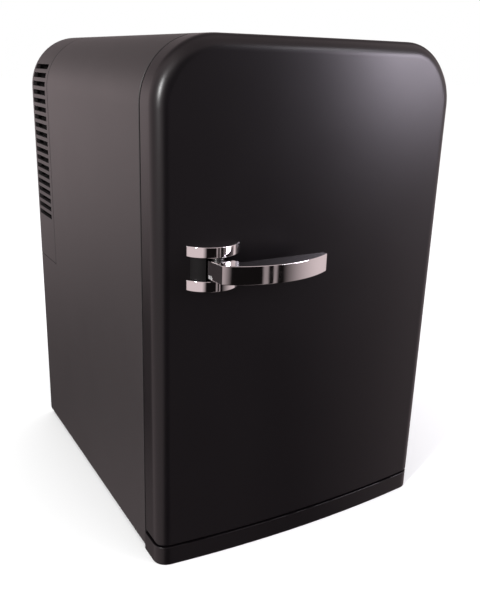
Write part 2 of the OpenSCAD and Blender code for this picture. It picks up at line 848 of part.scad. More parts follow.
// A countersunk screw through the front frame into a hinge bracket
module hinge_screw(z) {
    translate([hinge_screw_x, 0, z]) rotate([-90, 0, 0]) {
        cylinder(r = pin_r, h = 12);
        cylinder(r1 = 2 * pin_r, r2 = pin_r, h = 1.6);
    }
}

module hinge_arms() {
    color([0.55, 0.56, 0.58]) in_place() difference() {
        for (z = arm_zs) {
            bracket_plate(z);
            box([hinge_x - arm_r, 0, z], [hinge_x + arm_r - 1.5, frame_t + 1, z + arm_t]);
            translate([0, 0, z]) linear_extrude(arm_t) {
                translate([hinge_x, hinge_y]) circle(arm_r);
                translate([hinge_x - arm_r, hinge_y]) square([2 * arm_r, -hinge_y - 1.5]);
                translate([hinge_x - arm_r, hinge_y]) square([2 * arm_r - 1.5, -hinge_y + 1]);
            }
        }
        for (z = arm_zs) {
            translate([hinge_x, hinge_y, z - 1]) cylinder(r = pin_r + run_gap, h = arm_t + 2);
            for (dz = [-1, 1]) hinge_screw(z + arm_t / 2 + dz * hinge_screw_dz);
        }
    }
}

module hinge_screws() {
    color([0.55, 0.56, 0.58]) in_place()
        for (z = arm_zs, dz = [-1, 1]) hinge_screw(z + arm_t / 2 + dz * hinge_screw_dz);
}

// The pocket behind the front frame that the door's hook reaches into
module latch_keeper() {
    color([0.2, 0.2, 0.21]) in_place() difference() {
        box([keeper_lo, frame_t, slot_low - keeper_t], [keeper_hi, keeper_end, slot_high + keeper_t]);
        box([keeper_lo + keeper_t, frame_t - 1, slot_low], [keeper_hi - keeper_t, 7, slot_high]);
        box([keeper_lo + 0.6, 6, slot_low], [keeper_hi - keeper_t, keeper_end - 1.2, slot_high]);
    }
}

// ---- door ----

// The space in the door that the hook moves in
module latch_chamber() {
    box([hook_x - 2.8, -18.4, lever_z - 1], [pivot_x + 7.5, panel_y - panel_t + 0.1, slot_high + 1.5]);
}

module lever_window() {
    box([pivot_x - window_half, -26, lever_z - 0.4],
        [pivot_x + window_half + 0.6, -16, lever_z + lever_h + 0.4]);
}

module door_outer() {
    color([0.09, 0.08, 0.09]) in_place() difference() {
        door_block(0, -seam);
        door_block(skin_t, 1);
        hinge_notch();
        lever_window();
        for (x = cheek_screws, dz = [-1, 1]) cheek_screw(x, dz);
        difference() {
            box([hinge_x, hinge_y, 0], [half_w + 1, 1, total_h + 1]);
            translate([hinge_x, hinge_y, -1]) cylinder(r = swing_r, h = total_h + 3);
        }
    }
}

module door_foam() {
    color([0.9, 0.88, 0.8]) in_place() difference() {
        union() {
            door_block(skin_t, panel_y - panel_t);
            along_y(panel_y - panel_t - 1, plug_d - panel_t) cavity_outline(-plug_gap - panel_t);
        }
        latch_chamber();
        box([-73.5, -26, handle_z - 14], [-48.5, -14, handle_z + 14]);
        for (z = arm_zs) hinge_space(z);
    }
}

// The box inside the door that a hinge block fills
module hinge_space(z) {
    mid = z + arm_t / 2;
    box([hinge_x - 7, -17.4, mid - block_half], [half_w, panel_y - panel_t, mid + block_half]);
}

module door_inner() {
    slot_lo = hook_x - 2;
    color([0.82, 0.83, 0.84]) in_place() difference() {
        union() {
            intersection() {
                door_block(skin_t, panel_y);
                box([-half_w, panel_y - panel_t, 0], [half_w, panel_y, total_h]);
            }
            along_y(panel_y - 1, plug_d) cavity_outline(-plug_gap);
        }
        along_y(panel_y - panel_t - 1, plug_d - panel_t) cavity_outline(-plug_gap - panel_t);
        hinge_notch();
        box([slot_lo, panel_y - panel_t - 1, slot_low], [-73, panel_y + 1, slot_high]);
    }
}

module gasket_ring(grow, w, y0, y1) {
    along_y(y0, y1) difference() {
        cavity_outline(grow + w);
        cavity_outline(grow);
    }
}

module door_gasket() {
    grow = gasket_in - cav_half;
    color([0.3, 0.3, 0.31]) in_place() {
        gasket_ring(grow, gasket_w, panel_y, panel_y + 1.4);
        gasket_ring(grow + 1, gasket_w - 2, panel_y + 1.2, 0);
    }
}

module hinge_blocks() {
    color([0.2, 0.2, 0.21]) in_place() for (z = arm_zs) difference() {
        intersection() {
            door_block(skin_t, panel_y - panel_t);
            hinge_space(z);
        }
        hinge_notch();
        hinge_pin(z, pin_r);
    }
}

module hinge_pin(z, r) {
    translate([hinge_x, hinge_y, z + arm_t / 2 - 7]) cylinder(r = r, h = 14);
}

module hinge_pins() {
    color([0.7, 0.7, 0.72]) in_place() for (z = arm_zs) hinge_pin(z, pin_r);
}

// ---- handle ----

// Everything in front of the door's bowed face, over a height range
module in_front(z0, z1) {
    difference() {
        box([-half_w, -60, z0], [half_w, -10, z1]);
        translate([0, bow_r - door_mid, z0 - 1]) cylinder(r = bow_r, h = z1 - z0 + 2, $fn = 360);
    }
}

module cheek(z0) {
    difference() {
        intersection() {
            translate([cheek_x, cheek_y, z0]) cylinder(r = cheek_r, h = cheek_t);
            in_front(z0, z0 + cheek_t);
        }
        lever_pin_shape();
        for (x = cheek_screws, dz = [-1, 1]) cheek_screw(x, dz);
    }
}

// A screw from inside the door's skin into a cheek
module cheek_screw(x, dz) {
    z = handle_z + dz * (cheek_gap + cheek_t) / 2;
    screw_y(x, z, bow_y(x, 0) - 3.4, bow_y(abs(x) + 2.6, skin_t), 1.3);
}

module handle_screws() {
    color([0.6, 0.6, 0.62]) in_place() for (x = cheek_screws, dz = [-1, 1]) cheek_screw(x, dz);
}

module upper_cheek() {
    color([0.85, 0.85, 0.87]) in_place() cheek(handle_z + cheek_gap / 2);
}

module lower_cheek() {
    color([0.85, 0.85, 0.87]) in_place() cheek(handle_z - cheek_gap / 2 - cheek_t);
}

// The black block between the cheeks, left of the lever's barrel
module handle_base() {
    z0 = handle_z - cheek_gap / 2;
    right = pivot_x - barrel_r - 0.6;
    color([0.05, 0.05, 0.06]) in_place() difference() {
        intersection() {
            translate([cheek_x, cheek_y, z0]) cylinder(r = cheek_r - 1.6, h = cheek_gap);
            box([-half_w, -40, z0], [right, bow_y(right, 0) - 0.05, z0 + cheek_gap]);
        }
        translate([pivot_x, pivot_y, z0 - 1]) cylinder(r = barrel_r + 0.6, h = cheek_gap + 2);
    }
}

module lever_pin_shape() {
    reach = cheek_gap / 2 + cheek_t - 1.6;
    translate([pivot_x, pivot_y, handle_z - reach]) cylinder(r = pin_r, h = 2 * reach);
}

module lever_pin() {
    color([0.8, 0.8, 0.82]) in_place() lever_pin_shape();
}

module lever_washers() {
    t = (cheek_gap - lever_h) / 2 - 0.15;
    color([0.08, 0.08, 0.08]) in_place() difference() {
        for (side = [-1, 1]) translate([pivot_x, pivot_y, handle_z + side * (cheek_gap - t) / 2])
            cylinder(r = 3.2, h = t, center = true);
        translate([pivot_x, pivot_y, 0]) cylinder(r = pin_r, h = total_h);
    }
}

// A torsion spring round the lever's pin, with one leg towards the door
module lever_spring() {
    wire_r = 0.4;
    coil_r = 2.6;
    turns = 2.5;
    steps = 14;
    z0 = spring_low() + 0.55;
    coil = [for (i = [0 : turns * steps]) let (a = 180 + 360 * i / steps)
        [pivot_x + coil_r * cos(a), pivot_y + coil_r * sin(a), z0 + 2.1 * wire_r * i / steps]];
    color([0.6, 0.6, 0.62]) in_place()
        wire(concat([[pivot_x - coil_r, pivot_y + 6, z0]], coil), wire_r, [0, 0, 1], 6);
}

function spring_low() = handle_z + 0.3;

// The lever seen from above: barrel, slanted neck and a bar with a bowed front
module lever_plan() {
    arc_y = -lever_out + lever_arc_r;
    crease_y = arc_y - sqrt(pow(lever_arc_r, 2) - pow(crease_x - lever_arc_x, 2));
    bar_x = pivot_x + 8;
    translate([pivot_x, pivot_y]) circle(barrel_r);
    intersection() {
        translate([lever_arc_x, arc_y]) circle(lever_arc_r, $fn = 180);
        translate([bar_x, -lever_out - 1]) square([tip_x - bar_x, lever_out + 1 - lever_back]);
    }
    intersection() {
        translate([lever_arc_x, arc_y]) circle(lever_arc_r, $fn = 180);
        polygon([[crease_x, crease_y], [bar_x, -lever_out - 1], [bar_x, -lever_back],
            [pivot_x + 4.9, pivot_y - 2.7], [pivot_x - 5.4, pivot_y - 1.4]]);
    }
}

module handle_lever() {
    color([0.88, 0.88, 0.9]) in_place() difference() {
        union() {
            translate([0, 0, lever_z]) linear_extrude(lever_h) lever_plan();
            box([pivot_x - 2.5, pivot_y, lever_z + 0.5], [pivot_x + 2.5, arm_back, hook_z]);
        }
        translate([pivot_x, pivot_y, lever_z - 1])
            cylinder(r = pin_r + run_gap, h = lever_h + 2);
        translate([pivot_x, pivot_y, spring_low()]) cylinder(r = 3.6, h = 3.3);
        box([pivot_x - 4.6, pivot_y, spring_low()], [pivot_x + 1, pivot_y + 8, spring_low() + 3.3]);
        translate([pivot_x, (arm_front + arm_back) / 2, hook_z - 3]) cylinder(r = 1.2, h = 5);
    }
}

module latch_hook() {
    mid = (arm_front + arm_back) / 2;
    color([0.15, 0.15, 0.16]) in_place() difference() {
        translate([0, 0, hook_z]) linear_extrude(hook_h) polygon([
            [hook_x, arm_front], [pivot_x + 2.5, arm_front], [pivot_x + 2.5, arm_back],
            [hook_x + hook_w, arm_back], [hook_x + hook_w, hook_end - 1.5],
            [hook_x + hook_w - 1.5, hook_end], [hook_x, hook_end],
            [hook_x - barb, hook_end - 2.5], [hook_x - barb, hook_end - 3.5],
            [hook_x, hook_end - 4.5]]);
        translate([pivot_x, mid, hook_z - 1]) cylinder(r = 1.2, h = hook_h + 2);
    }
}

module hook_screw() {
    mid = (arm_front + arm_back) / 2;
    color([0.6, 0.6, 0.62]) in_place() translate([pivot_x, mid, hook_z - 3]) {
        cylinder(r = 1.2, h = 3 + hook_h);
        translate([0, 0, 3 + hook_h]) cylinder(r = 2.2, h = 1.2);
    }
}

cabinet_shell();
front_frame();
inner_liner();
cabinet_foam();
rear_bulkhead();
rear_panel();
rear_panel_screws();
rear_cover();
rear_cover_screws();
plinth();
feet();
shelf();
cold_plate();
cold_plate_screws();
cold_block();
peltier_module();
module_seal();
heat_sink();
heat_sink_screws();
fan_frame();
fan_bearing();
fan_stator();
fan_screws();
fan_rotor();
fan_shaft();
circuit_board();
board_screws();
transformer();
capacitors();
power_transistor();
terminal_block();
fan_wires();
module_wires();
inlet_wires();
ac_inlet();
ac_pins();
dc_socket();
dc_pins();
switch_housing();
switch_knob();
indicator_lenses();
hinge_arms();
hinge_screws();
latch_keeper();
door_outer();
door_foam();
door_inner();
door_gasket();
hinge_blocks();
hinge_pins();
handle_base();
upper_cheek();
lower_cheek();
handle_screws();
lever_pin();
lever_washers();
lever_spring();
handle_lever();
latch_hook();
hook_screw();
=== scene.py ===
import json
import bpy
import bmesh
import numpy as np
from mathutils import Matrix, Vector


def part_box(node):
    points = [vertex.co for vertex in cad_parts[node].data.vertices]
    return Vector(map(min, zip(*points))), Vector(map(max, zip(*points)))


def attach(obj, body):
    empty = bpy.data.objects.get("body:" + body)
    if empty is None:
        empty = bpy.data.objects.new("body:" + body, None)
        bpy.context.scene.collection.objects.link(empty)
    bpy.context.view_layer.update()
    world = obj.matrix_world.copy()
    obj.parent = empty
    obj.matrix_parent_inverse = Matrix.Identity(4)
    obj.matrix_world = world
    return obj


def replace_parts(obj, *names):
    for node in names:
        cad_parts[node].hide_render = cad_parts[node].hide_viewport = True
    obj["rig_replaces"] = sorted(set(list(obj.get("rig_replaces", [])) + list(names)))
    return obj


# %% [markdown]
# # A mini fridge for a desk or a car
# A fridge this small has no compressor. A flat thermoelectric module behind the cavity pumps heat
# into a finned heat sink, and a fan blows it out through the slotted cover at the back. The packed
# model already holds every part at its real size. This script gives each part its finished surface
# and its material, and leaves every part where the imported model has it.

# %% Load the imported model
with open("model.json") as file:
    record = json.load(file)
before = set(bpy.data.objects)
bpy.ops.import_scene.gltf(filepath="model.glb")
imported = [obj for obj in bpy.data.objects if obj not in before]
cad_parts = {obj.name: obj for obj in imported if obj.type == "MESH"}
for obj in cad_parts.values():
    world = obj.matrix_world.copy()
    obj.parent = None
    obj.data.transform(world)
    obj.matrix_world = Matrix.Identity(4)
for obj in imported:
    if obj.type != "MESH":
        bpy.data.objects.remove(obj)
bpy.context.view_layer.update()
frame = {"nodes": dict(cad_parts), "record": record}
mm = 0.001
slots = {part["node"]: part["material_slot"] for part in frame["record"]["subparts"]}
body_of = {node: body for body, nodes in frame["record"]["behaviour"]["bodies"].items()
           for node in nodes}

# %% [markdown]
# ## The camera first
# The view is from the front left, a little above the fridge, so that the camera looks down by
# about 18 degrees and sees the left side as a narrow panel. It stands only half a metre away, so
# the upright edges lean together towards the floor. It hangs slightly askew, as a hand-held one
# does, which is a small turn about its own line of sight.

# %% Camera
def look_from(place, target, lens, roll):
    """A camera at `place` that looks at `target`, then turns by `roll` about its line of sight."""
    camera = bpy.data.objects.new("camera", bpy.data.cameras.new("camera"))
    camera.data.lens = lens
    camera.data.clip_start = 0.02
    direction = Vector(target) - Vector(place)
    turned = direction.to_track_quat("-Z", "Y").to_matrix() @ Matrix.Rotation(roll, 3, "Z")
    camera.rotation_euler = turned.to_euler()
    camera.location = place
    bpy.context.collection.objects.link(camera)
    bpy.context.scene.camera = camera
    return camera


camera = look_from((-0.2226, -0.3995, 0.2676), (-0.0437, -0.0918, 0.1501), 43.33, np.radians(1.7))
print("camera is", round((camera.location - Vector((0, 0, 0.14))).length, 3), "m from the fridge")

# %% [markdown]
# ## Sums inside a material
# A material is a network of nodes, which is tiring to read and to wire. Here one number on its
# way through the network is wrapped in a small class with the usual operators. An expression
# such as 0.4 + 0.1 * grain then adds its own Math nodes. Colours and vectors never go through
# those, because a Math node turns them grey.

# %% Values, nodes and finishes
class Value:
    """One socket of a material. Arithmetic on it adds Math nodes."""

    def __init__(self, finish, socket):
        self.finish, self.socket = finish, socket

    def maths(self, operation, first, second):
        return self.finish.node("Math", {"operation": operation}, {0: first, 1: second})

    def __add__(self, other):
        return self.maths("ADD", self, other)

    def __sub__(self, other):
        return self.maths("SUBTRACT", self, other)

    def __rsub__(self, other):
        return self.maths("SUBTRACT", other, self)

    def __mul__(self, other):
        return self.maths("MULTIPLY", self, other)

    __radd__ = __add__
    __rmul__ = __mul__


class Network:
    """The nodes of a material or of the surroundings."""

    def __init__(self, tree):
        self.tree = tree

    def node(self, kind, settings=None, sockets=None, out=0):
        """Adds a node, gives it its settings, fills its sockets and returns one output."""
        made = self.tree.nodes.new("ShaderNode" + kind)
        for name, value in (settings or {}).items():
            setattr(made, name, value)
        for key, value in (sockets or {}).items():
            self.feed(made.inputs[key], value)
        return Value(self, made.outputs[out])

    def feed(self, socket, value):
        """Links a value to a socket, or sets a plain number or colour on it."""
        if isinstance(value, Value):
            self.tree.links.new(value.socket, socket)
        else:
            socket.default_value = value

    def ramp(self, value, low, high):
        """0 below `low`, 1 above `high`, and a straight line between."""
        return self.node("MapRange", sockets={"Value": value, "From Min": low, "From Max": high})

    def mix(self, share, first, second):
        """A colour between `first` and `second`."""
        ends = [(*c, 1) if isinstance(c, tuple) else c for c in (first, second)]
        return self.node("Mix", {"data_type": "RGBA"}, {0: share, 6: ends[0], 7: ends[1]}, out=2)


class Finish(Network):
    """A material under construction, round one Principled shader."""

    def __init__(self, name, **constants):
        self.material = bpy.data.materials.new(name)
        self.material.use_nodes = True
        super().__init__(self.material.node_tree)
        self.shader = self.tree.nodes["Principled BSDF"]
        for socket, value in constants.items():
            self.set(socket.replace("_", " ").title().replace("Ior", "IOR"), value)

    def set(self, name, value):
        """Sets or links one socket of the Principled shader."""
        value = (*value, 1) if isinstance(value, tuple) else value
        self.feed(self.shader.inputs[name], value)

    def place(self, stretch=(1, 1, 1)):
        """Where a point is on the piece, in metres, with each axis stretched."""
        spot = self.node("TexCoord", out="Object")
        return self.node("Mapping", sockets={"Vector": spot, "Scale": stretch})

    def noise(self, size, detail=2.0, rough=0.5, stretch=(1, 1, 1)):
        """Cloudy noise from 0 to 1 whose blotches are about `size` metres across."""
        return self.node("TexNoise", sockets={"Vector": self.place(stretch), "Scale": 1 / size,
                                              "Detail": detail, "Roughness": rough})

    def bump(self, height, depth):
        """Raises the surface by `height` times `depth` metres."""
        self.set("Normal", self.node("Bump", sockets={"Height": height, "Distance": depth,
                                                      "Strength": 1.0}))


def tone(colour, share):
    """A colour made lighter or darker by a share of itself."""
    return tuple(channel * share for channel in colour)

# %% [markdown]
# ## The studio
# Black plastic is seen by what it reflects. The fridge stands on a pale floor in even white
# light, but what it mirrors is a darker room, bright behind it and at both sides. So the side
# panel, seen at a flat angle, turns warm grey and the front stays nearly black. Two thin slits of
# light and a bright ceiling are there for the chrome. One soft lamp on the right lays a sheen on
# the door's upper right, a narrow one on the left draws a bright line on its rounded edge, and one
# in front and higher up lights the door's top edge.

# %% Lamps
def soft_lamp(name, place, size, power, tint=(1, 1, 1)):
    """A rectangular lamp at `place` that faces the middle of the fridge."""
    lamp = bpy.data.objects.new(name, bpy.data.lights.new(name, "AREA"))
    lamp.data.shape = "RECTANGLE"
    lamp.data.size, lamp.data.size_y = size
    lamp.data.energy = power
    lamp.data.color = tint
    lamp.location = place
    middle = Vector((0, 0, 0.14))
    lamp.rotation_euler = (middle - Vector(place)).to_track_quat("-Z", "Y").to_euler()
    bpy.context.collection.objects.link(lamp)


soft_lamp("lamp_right", (1.1, -0.95, 0.46), (0.42, 0.5), 10.5, (0.94, 0.86, 1.0))
soft_lamp("lamp_left", (-1.08, -0.6, 0.62), (0.12, 0.34), 12)
soft_lamp("lamp_top", (0.9, -1.07, 0.98), (0.5, 0.3), 3, (0.95, 0.92, 1.0))
print("lamps:", len(bpy.data.lights))

# %% Floor
floor_mesh = bpy.data.meshes.new("floor")
floor_mesh.from_pydata([(-9, -9, 0), (9, -9, 0), (9, 9, 0), (-9, 9, 0)], [], [(0, 1, 2, 3)])
floor = bpy.data.objects.new("floor", floor_mesh)
paper = Finish("pale_paper_floor", base_color=(0.92, 0.92, 0.92), specular_ior_level=0.0)
paper.set("Roughness", 0.8 + 0.1 * paper.noise(20 * mm))
floor_mesh.materials.append(paper.material)
bpy.context.collection.objects.link(floor)
floor.visible_glossy = False

# %% Surroundings
def studio_room():
    """White light all round for seeing and for lighting, and for mirroring a dark room with
    bright walls to the left, to the right and behind, two slits in front on the right, a bright
    ceiling in front and a faint strip of floor at the back."""
    world = bpy.data.worlds.new("studio")
    bpy.context.scene.world = world
    world.use_nodes = True
    room = Network(world.node_tree)
    way = room.node("TexCoord", out="Generated")
    axes = room.tree.nodes.new("ShaderNodeSeparateXYZ")
    room.feed(axes.inputs[0], way)
    x, y, z = (Value(room, axes.outputs[i]) for i in range(3))
    left = room.ramp(0 - x, 0.42, 0.62)
    slits = room.ramp(x, 0.1, 0.15) * room.ramp(x, 0.24, 0.2)
    slits += room.ramp(x, 0.3, 0.32) * room.ramp(x, 0.4, 0.36)
    right = 0.3 * slits + 0.3 * room.ramp(x, 0.48, 0.7) + 0.45 * room.ramp(x, 0.7, 1.0)
    behind = room.ramp(y, 0.3, 0.8) * room.ramp(z, -0.33, -0.04) * (1 - 0.7 * room.ramp(z, 0.05, 0.3))
    front = 1 - room.ramp(y, 0.2, 0.5)
    above = room.ramp(z, 0.5, 0.6) * front
    below = room.ramp(0 - z, 0.46, 0.56) * room.ramp(y, 0.3, 0.6)
    glow = 0.006 + 0.7 * left + right * front + 1.05 * behind + 0.5 * above + 0.2 * below
    warm = room.mix(glow, (0, 0, 0), (1.0, 0.83, 0.85))
    light = room.tree.nodes.new("ShaderNodeLightPath")
    mirrored = Value(room, light.outputs["Is Glossy Ray"])
    seen = Value(room, light.outputs["Is Camera Ray"])
    white = room.mix(seen, (1.1, 1.1, 1.1), (1, 1, 1))
    room.feed(world.node_tree.nodes["Background"].inputs["Color"], room.mix(mirrored, white, warm))


studio_room()
bpy.context.scene.view_settings.view_transform = "Standard"
print("floor and surroundings are in place")

# %% [markdown]
# ## Plastics
# The tool that moulds a plastic part is spark eroded, which leaves a fine pebble grain on it. The
# grain scatters the reflections, and that is what makes the black satin. One recipe serves every
# moulded part: a colour, how rough it is, the size of the grain and how deep it is. Handling adds
# faint cloudy patches, some of them a little shinier.

# %% Moulded plastic, rubber and foam
def moulded(name, colour, rough, grain=0.35, depth=0.02, **constants):
    """A moulded plastic. `grain` and `depth` are the pebbles' size and height in millimetres."""
    finish = Finish(name, **constants)
    pebbles = finish.noise(grain * mm, 1.0)
    clouds = finish.noise(35 * mm, 3.0)
    finish.set("Base Color", finish.mix(clouds, tone(colour, 0.94), tone(colour, 1.07)))
    finish.set("Roughness", rough - 0.025 + 0.05 * clouds + 0.04 * pebbles)
    finish.bump(pebbles, depth * mm)
    return finish.material


def rubber(name, colour):
    """A dull rubber with a fine matt skin and a little dust in its pores."""
    finish = Finish(name, specular_ior_level=0.35)
    pores = finish.noise(0.5 * mm, 4.0, 0.6)
    dust = finish.ramp(finish.noise(9 * mm, 4.0), 0.5, 0.8)
    finish.set("Base Color", finish.mix(0.3 * dust, colour, (0.2, 0.19, 0.18)))
    finish.set("Roughness", 0.68 + 0.2 * pores)
    finish.bump(pores, 0.04 * mm)
    return finish.material


def foamed(name, colour):
    """Rigid foam with open cells of about a millimetre."""
    finish = Finish(name)
    cells = finish.node("TexVoronoi", sockets={"Vector": finish.place(), "Scale": 1 / (0.9 * mm)})
    finish.set("Base Color", finish.mix(finish.ramp(cells, 0, 0.7), colour, tone(colour, 0.7)))
    finish.set("Roughness", 0.95 - 0.1 * cells)
    finish.bump(cells, 0.25 * mm)
    return finish.material

# %% [markdown]
# ## Metals
# Chrome plate is a mirror over a plastic core, so it gets almost no roughness, a very slight
# waviness that bends straight reflections, and hairline scratches from cleaning. Aluminium and
# steel parts are brushed or rolled: their marks run one way, which is noise stretched along one
# axis.

# %% Chrome, aluminium, steel, brass and copper
def plated(name):
    """Mirror chrome with a trace of waviness and fine rub marks."""
    finish = Finish(name, metallic=1.0, base_color=(0.86, 0.85, 0.85))
    waves = finish.noise(9 * mm, 1.0)
    marks = finish.noise(1.2 * mm, 3.0, 0.7, (0.12, 1, 1))
    smear = finish.ramp(finish.noise(14 * mm, 3.0), 0.45, 0.75)
    finish.set("Roughness", 0.035 + 0.05 * smear + 0.03 * finish.ramp(marks, 0.55, 0.7))
    finish.bump(waves + 0.02 * marks, 0.03 * mm)
    return finish.material


def brushed(name, colour, rough, stretch):
    """A bare metal with brush marks that run along the axis stretched least."""
    finish = Finish(name, metallic=1.0)
    lines = finish.noise(0.35 * mm, 3.0, 0.6, stretch)
    stain = finish.noise(18 * mm, 3.0)
    finish.set("Base Color", finish.mix(stain, tone(colour, 0.85), tone(colour, 1.08)))
    finish.set("Roughness", rough + 0.14 * lines + 0.06 * stain)
    finish.bump(lines, 0.01 * mm)
    return finish.material


def wound(name, colour, pitch):
    """Fine wire or tape laid side by side round a core, `pitch` millimetres a turn."""
    finish = Finish(name, metallic=0.7)
    turns = finish.node("TexWave", {"bands_direction": "Z"}, {"Vector": finish.place(),
                        "Scale": 0.31 / (pitch * mm), "Distortion": 0.4})
    # The colour falls to under half in the grooves between turns, where the bump is low: painted shade.
    finish.set("Base Color", finish.mix(turns, tone(colour, 0.45), colour))
    finish.set("Roughness", 0.28 + 0.25 * finish.noise(2 * mm))
    finish.bump(turns, 0.12 * mm)
    return finish.material


def fibre_board(name, colour):
    """A lacquered circuit board: copper tracks show as slightly raised paler paths."""
    finish = Finish(name, coat_weight=0.5)
    weave = finish.noise(0.6 * mm, 2.0, 0.5, (1, 1, 0.2))
    cells = finish.node("TexVoronoi", {"feature": "DISTANCE_TO_EDGE", "distance": "MANHATTAN"},
                        {"Vector": finish.place(), "Scale": 1 / (7 * mm), "Randomness": 0.6})
    track = 1 - finish.ramp(cells, 0.05, 0.09)
    finish.set("Base Color", finish.mix(track, tone(colour, 0.75), tone(colour, 1.9)))
    finish.set("Roughness", 0.3 + 0.1 * weave)
    finish.bump(track + 0.1 * weave, 0.06 * mm)
    return finish.material

# %% [markdown]
# ## One finish for each kind of part
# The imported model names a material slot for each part. Each slot gets one finish here, so parts
# from the same moulding or the same sheet look alike.

# %% The finishes by slot
finishes = {
    "shell_plastic": moulded("satin_black_shell", (0.018, 0.0155, 0.016), 0.40),
    "door_plastic": moulded("satin_black_door", (0.0026, 0.0018, 0.0024), 0.29, depth=0.012,
                            specular_ior_level=0.42),
    "black_plastic": moulded("plain_black_plastic", (0.0010, 0.0010, 0.0011), 0.5, 0.6, 0.03,
                             specular_ior_level=0.2),
    "liner_plastic": moulded("light_grey_liner", (0.44, 0.46, 0.48), 0.34, 0.3, 0.006),
    "shelf_plastic": moulded("frosted_shelf", (0.66, 0.70, 0.74), 0.30, 0.4, 0.02,
                             transmission_weight=0.35),
    "foam": foamed("cream_foam", (0.80, 0.74, 0.55)),
    "soft_rubber": rubber("foot_rubber", (0.02, 0.02, 0.02)),
    "gasket_rubber": rubber("gasket_rubber", (0.07, 0.07, 0.075)),
    "anodised_aluminium": brushed("brushed_cold_plate", (0.80, 0.81, 0.83), 0.24, (0.04, 1, 1)),
    "module_ceramic": moulded("white_ceramic", (0.78, 0.78, 0.74), 0.55, 0.2, 0.01),
    "chrome_plate": plated("chrome_plate"),
    "zinc_steel": brushed("zinc_plated_steel", (0.58, 0.59, 0.62), 0.26, (1, 1, 0.2)),
    "fan_plastic": moulded("fan_plastic", (0.016, 0.016, 0.018), 0.32, 0.5, 0.015),
    "bearing_bronze": brushed("sintered_bronze", (0.62, 0.42, 0.2), 0.38, (1, 0.2, 1)),
    "winding_copper": wound("copper_winding", (0.8, 0.36, 0.16), 0.35),
    "board_green": fibre_board("circuit_board", (0.02, 0.13, 0.05)),
    "transformer_tape": wound("transformer_tape", (0.75, 0.55, 0.1), 4.0),
    "capacitor_sleeve": moulded("capacitor_sleeve", (0.03, 0.05, 0.16), 0.22, 0.8, 0.01),
    "bare_aluminium": brushed("extruded_aluminium", (0.72, 0.73, 0.75), 0.32, (0.05, 1, 1)),
    "wire_red": moulded("red_wire", (0.55, 0.02, 0.02), 0.4, 0.5, 0.01),
    "wire_black": moulded("black_wire", (0.02, 0.02, 0.022), 0.4, 0.5, 0.01),
    "pin_brass": brushed("tinned_brass", (0.78, 0.66, 0.42), 0.2, (1, 0.1, 1)),
    "knob_plastic": moulded("red_knob", (0.5, 0.03, 0.025), 0.35, 0.4, 0.015),
    "lens_plastic": moulded("green_lens", (0.05, 0.5, 0.12), 0.12, 0.6, 0.004,
                            transmission_weight=0.5),
    "nylon": moulded("black_nylon", (0.006, 0.006, 0.006), 0.42, 0.4, 0.01),
}
for node, part in frame["nodes"].items():
    part.data.materials.clear()
    part.data.materials.append(finishes[slots[node]])
print("finishes:", len(finishes), " unused:", set(finishes) - set(slots.values()))

# %% [markdown]
# ## Surfaces from arrays
# Most parts here are a stack of closed rings: the outline of the part, drawn again and again as it
# shrinks, grows or moves along. Each ring is a row of points, the rings are stacked in one array,
# and neighbouring rings are joined by four-sided faces. A ring that has shrunk to one point closes
# the end like the pole of a globe.

# %% From rings to a piece
def ring_faces(rings, count, loop):
    """Four-sided faces between neighbouring rings of `count` points. `loop` joins last to first."""
    row = np.arange(rings if loop else rings - 1)[:, None]
    step = np.arange(count)
    near, far = row * count, (row + 1) % rings * count
    right = (step + 1) % count
    return np.stack([near + step, near + right, far + right, far + step], -1).reshape(-1, 4)


def raw_mesh(name, rings, loop=False, flat_ends=False):
    """A closed mesh from an array of rings, with doubled points merged and faces turned outwards."""
    rings = np.asarray(rings, float)
    faces = ring_faces(len(rings), rings.shape[1], loop).tolist()
    if flat_ends:
        last = rings.shape[0] * rings.shape[1]
        faces += [list(range(rings.shape[1]))[::-1], list(range(last - rings.shape[1], last))]
    mesh = bpy.data.meshes.new(name)
    mesh.from_pydata(rings.reshape(-1, 3).tolist(), [], faces)
    tidy_mesh(mesh)
    return mesh


def tidy_mesh(mesh):
    """Merges doubled points, drops faces with no area and points every face outwards."""
    shape = bmesh.new()
    shape.from_mesh(mesh)
    bmesh.ops.remove_doubles(shape, verts=shape.verts, dist=1e-6)
    bmesh.ops.dissolve_degenerate(shape, edges=shape.edges, dist=1e-7)
    bmesh.ops.recalc_face_normals(shape, faces=shape.faces)
    if shape.calc_volume(signed=True) < 0:
        bmesh.ops.reverse_faces(shape, faces=shape.faces)
    shape.to_mesh(mesh)
    shape.free()


def solid(name, rings, loop=False, flat_ends=False):
    """An object of its own from an array of rings."""
    piece = bpy.data.objects.new(name, raw_mesh(name, rings, loop, flat_ends))
    bpy.context.collection.objects.link(piece)
    return piece


def combine(piece, tool, operation="DIFFERENCE"):
    """Cuts `tool` out of `piece`, or adds it with "UNION". The tool is used up."""
    change = piece.modifiers.new("change", "BOOLEAN")
    change.object, change.operation, change.solver = tool, operation, "EXACT"
    graph = bpy.context.evaluated_depsgraph_get()
    result = bpy.data.meshes.new_from_object(piece.evaluated_get(graph))
    piece.modifiers.clear()
    piece.data = result
    bpy.data.objects.remove(tool)


def joined(name, pieces):
    """One object that holds several separate closed shapes."""
    shape = bmesh.new()
    for piece in pieces:
        shape.from_mesh(piece.data)
        bpy.data.objects.remove(piece)
    mesh = bpy.data.meshes.new(name)
    shape.to_mesh(mesh)
    shape.free()
    whole = bpy.data.objects.new(name, mesh)
    bpy.context.collection.objects.link(whole)
    return whole


made = []


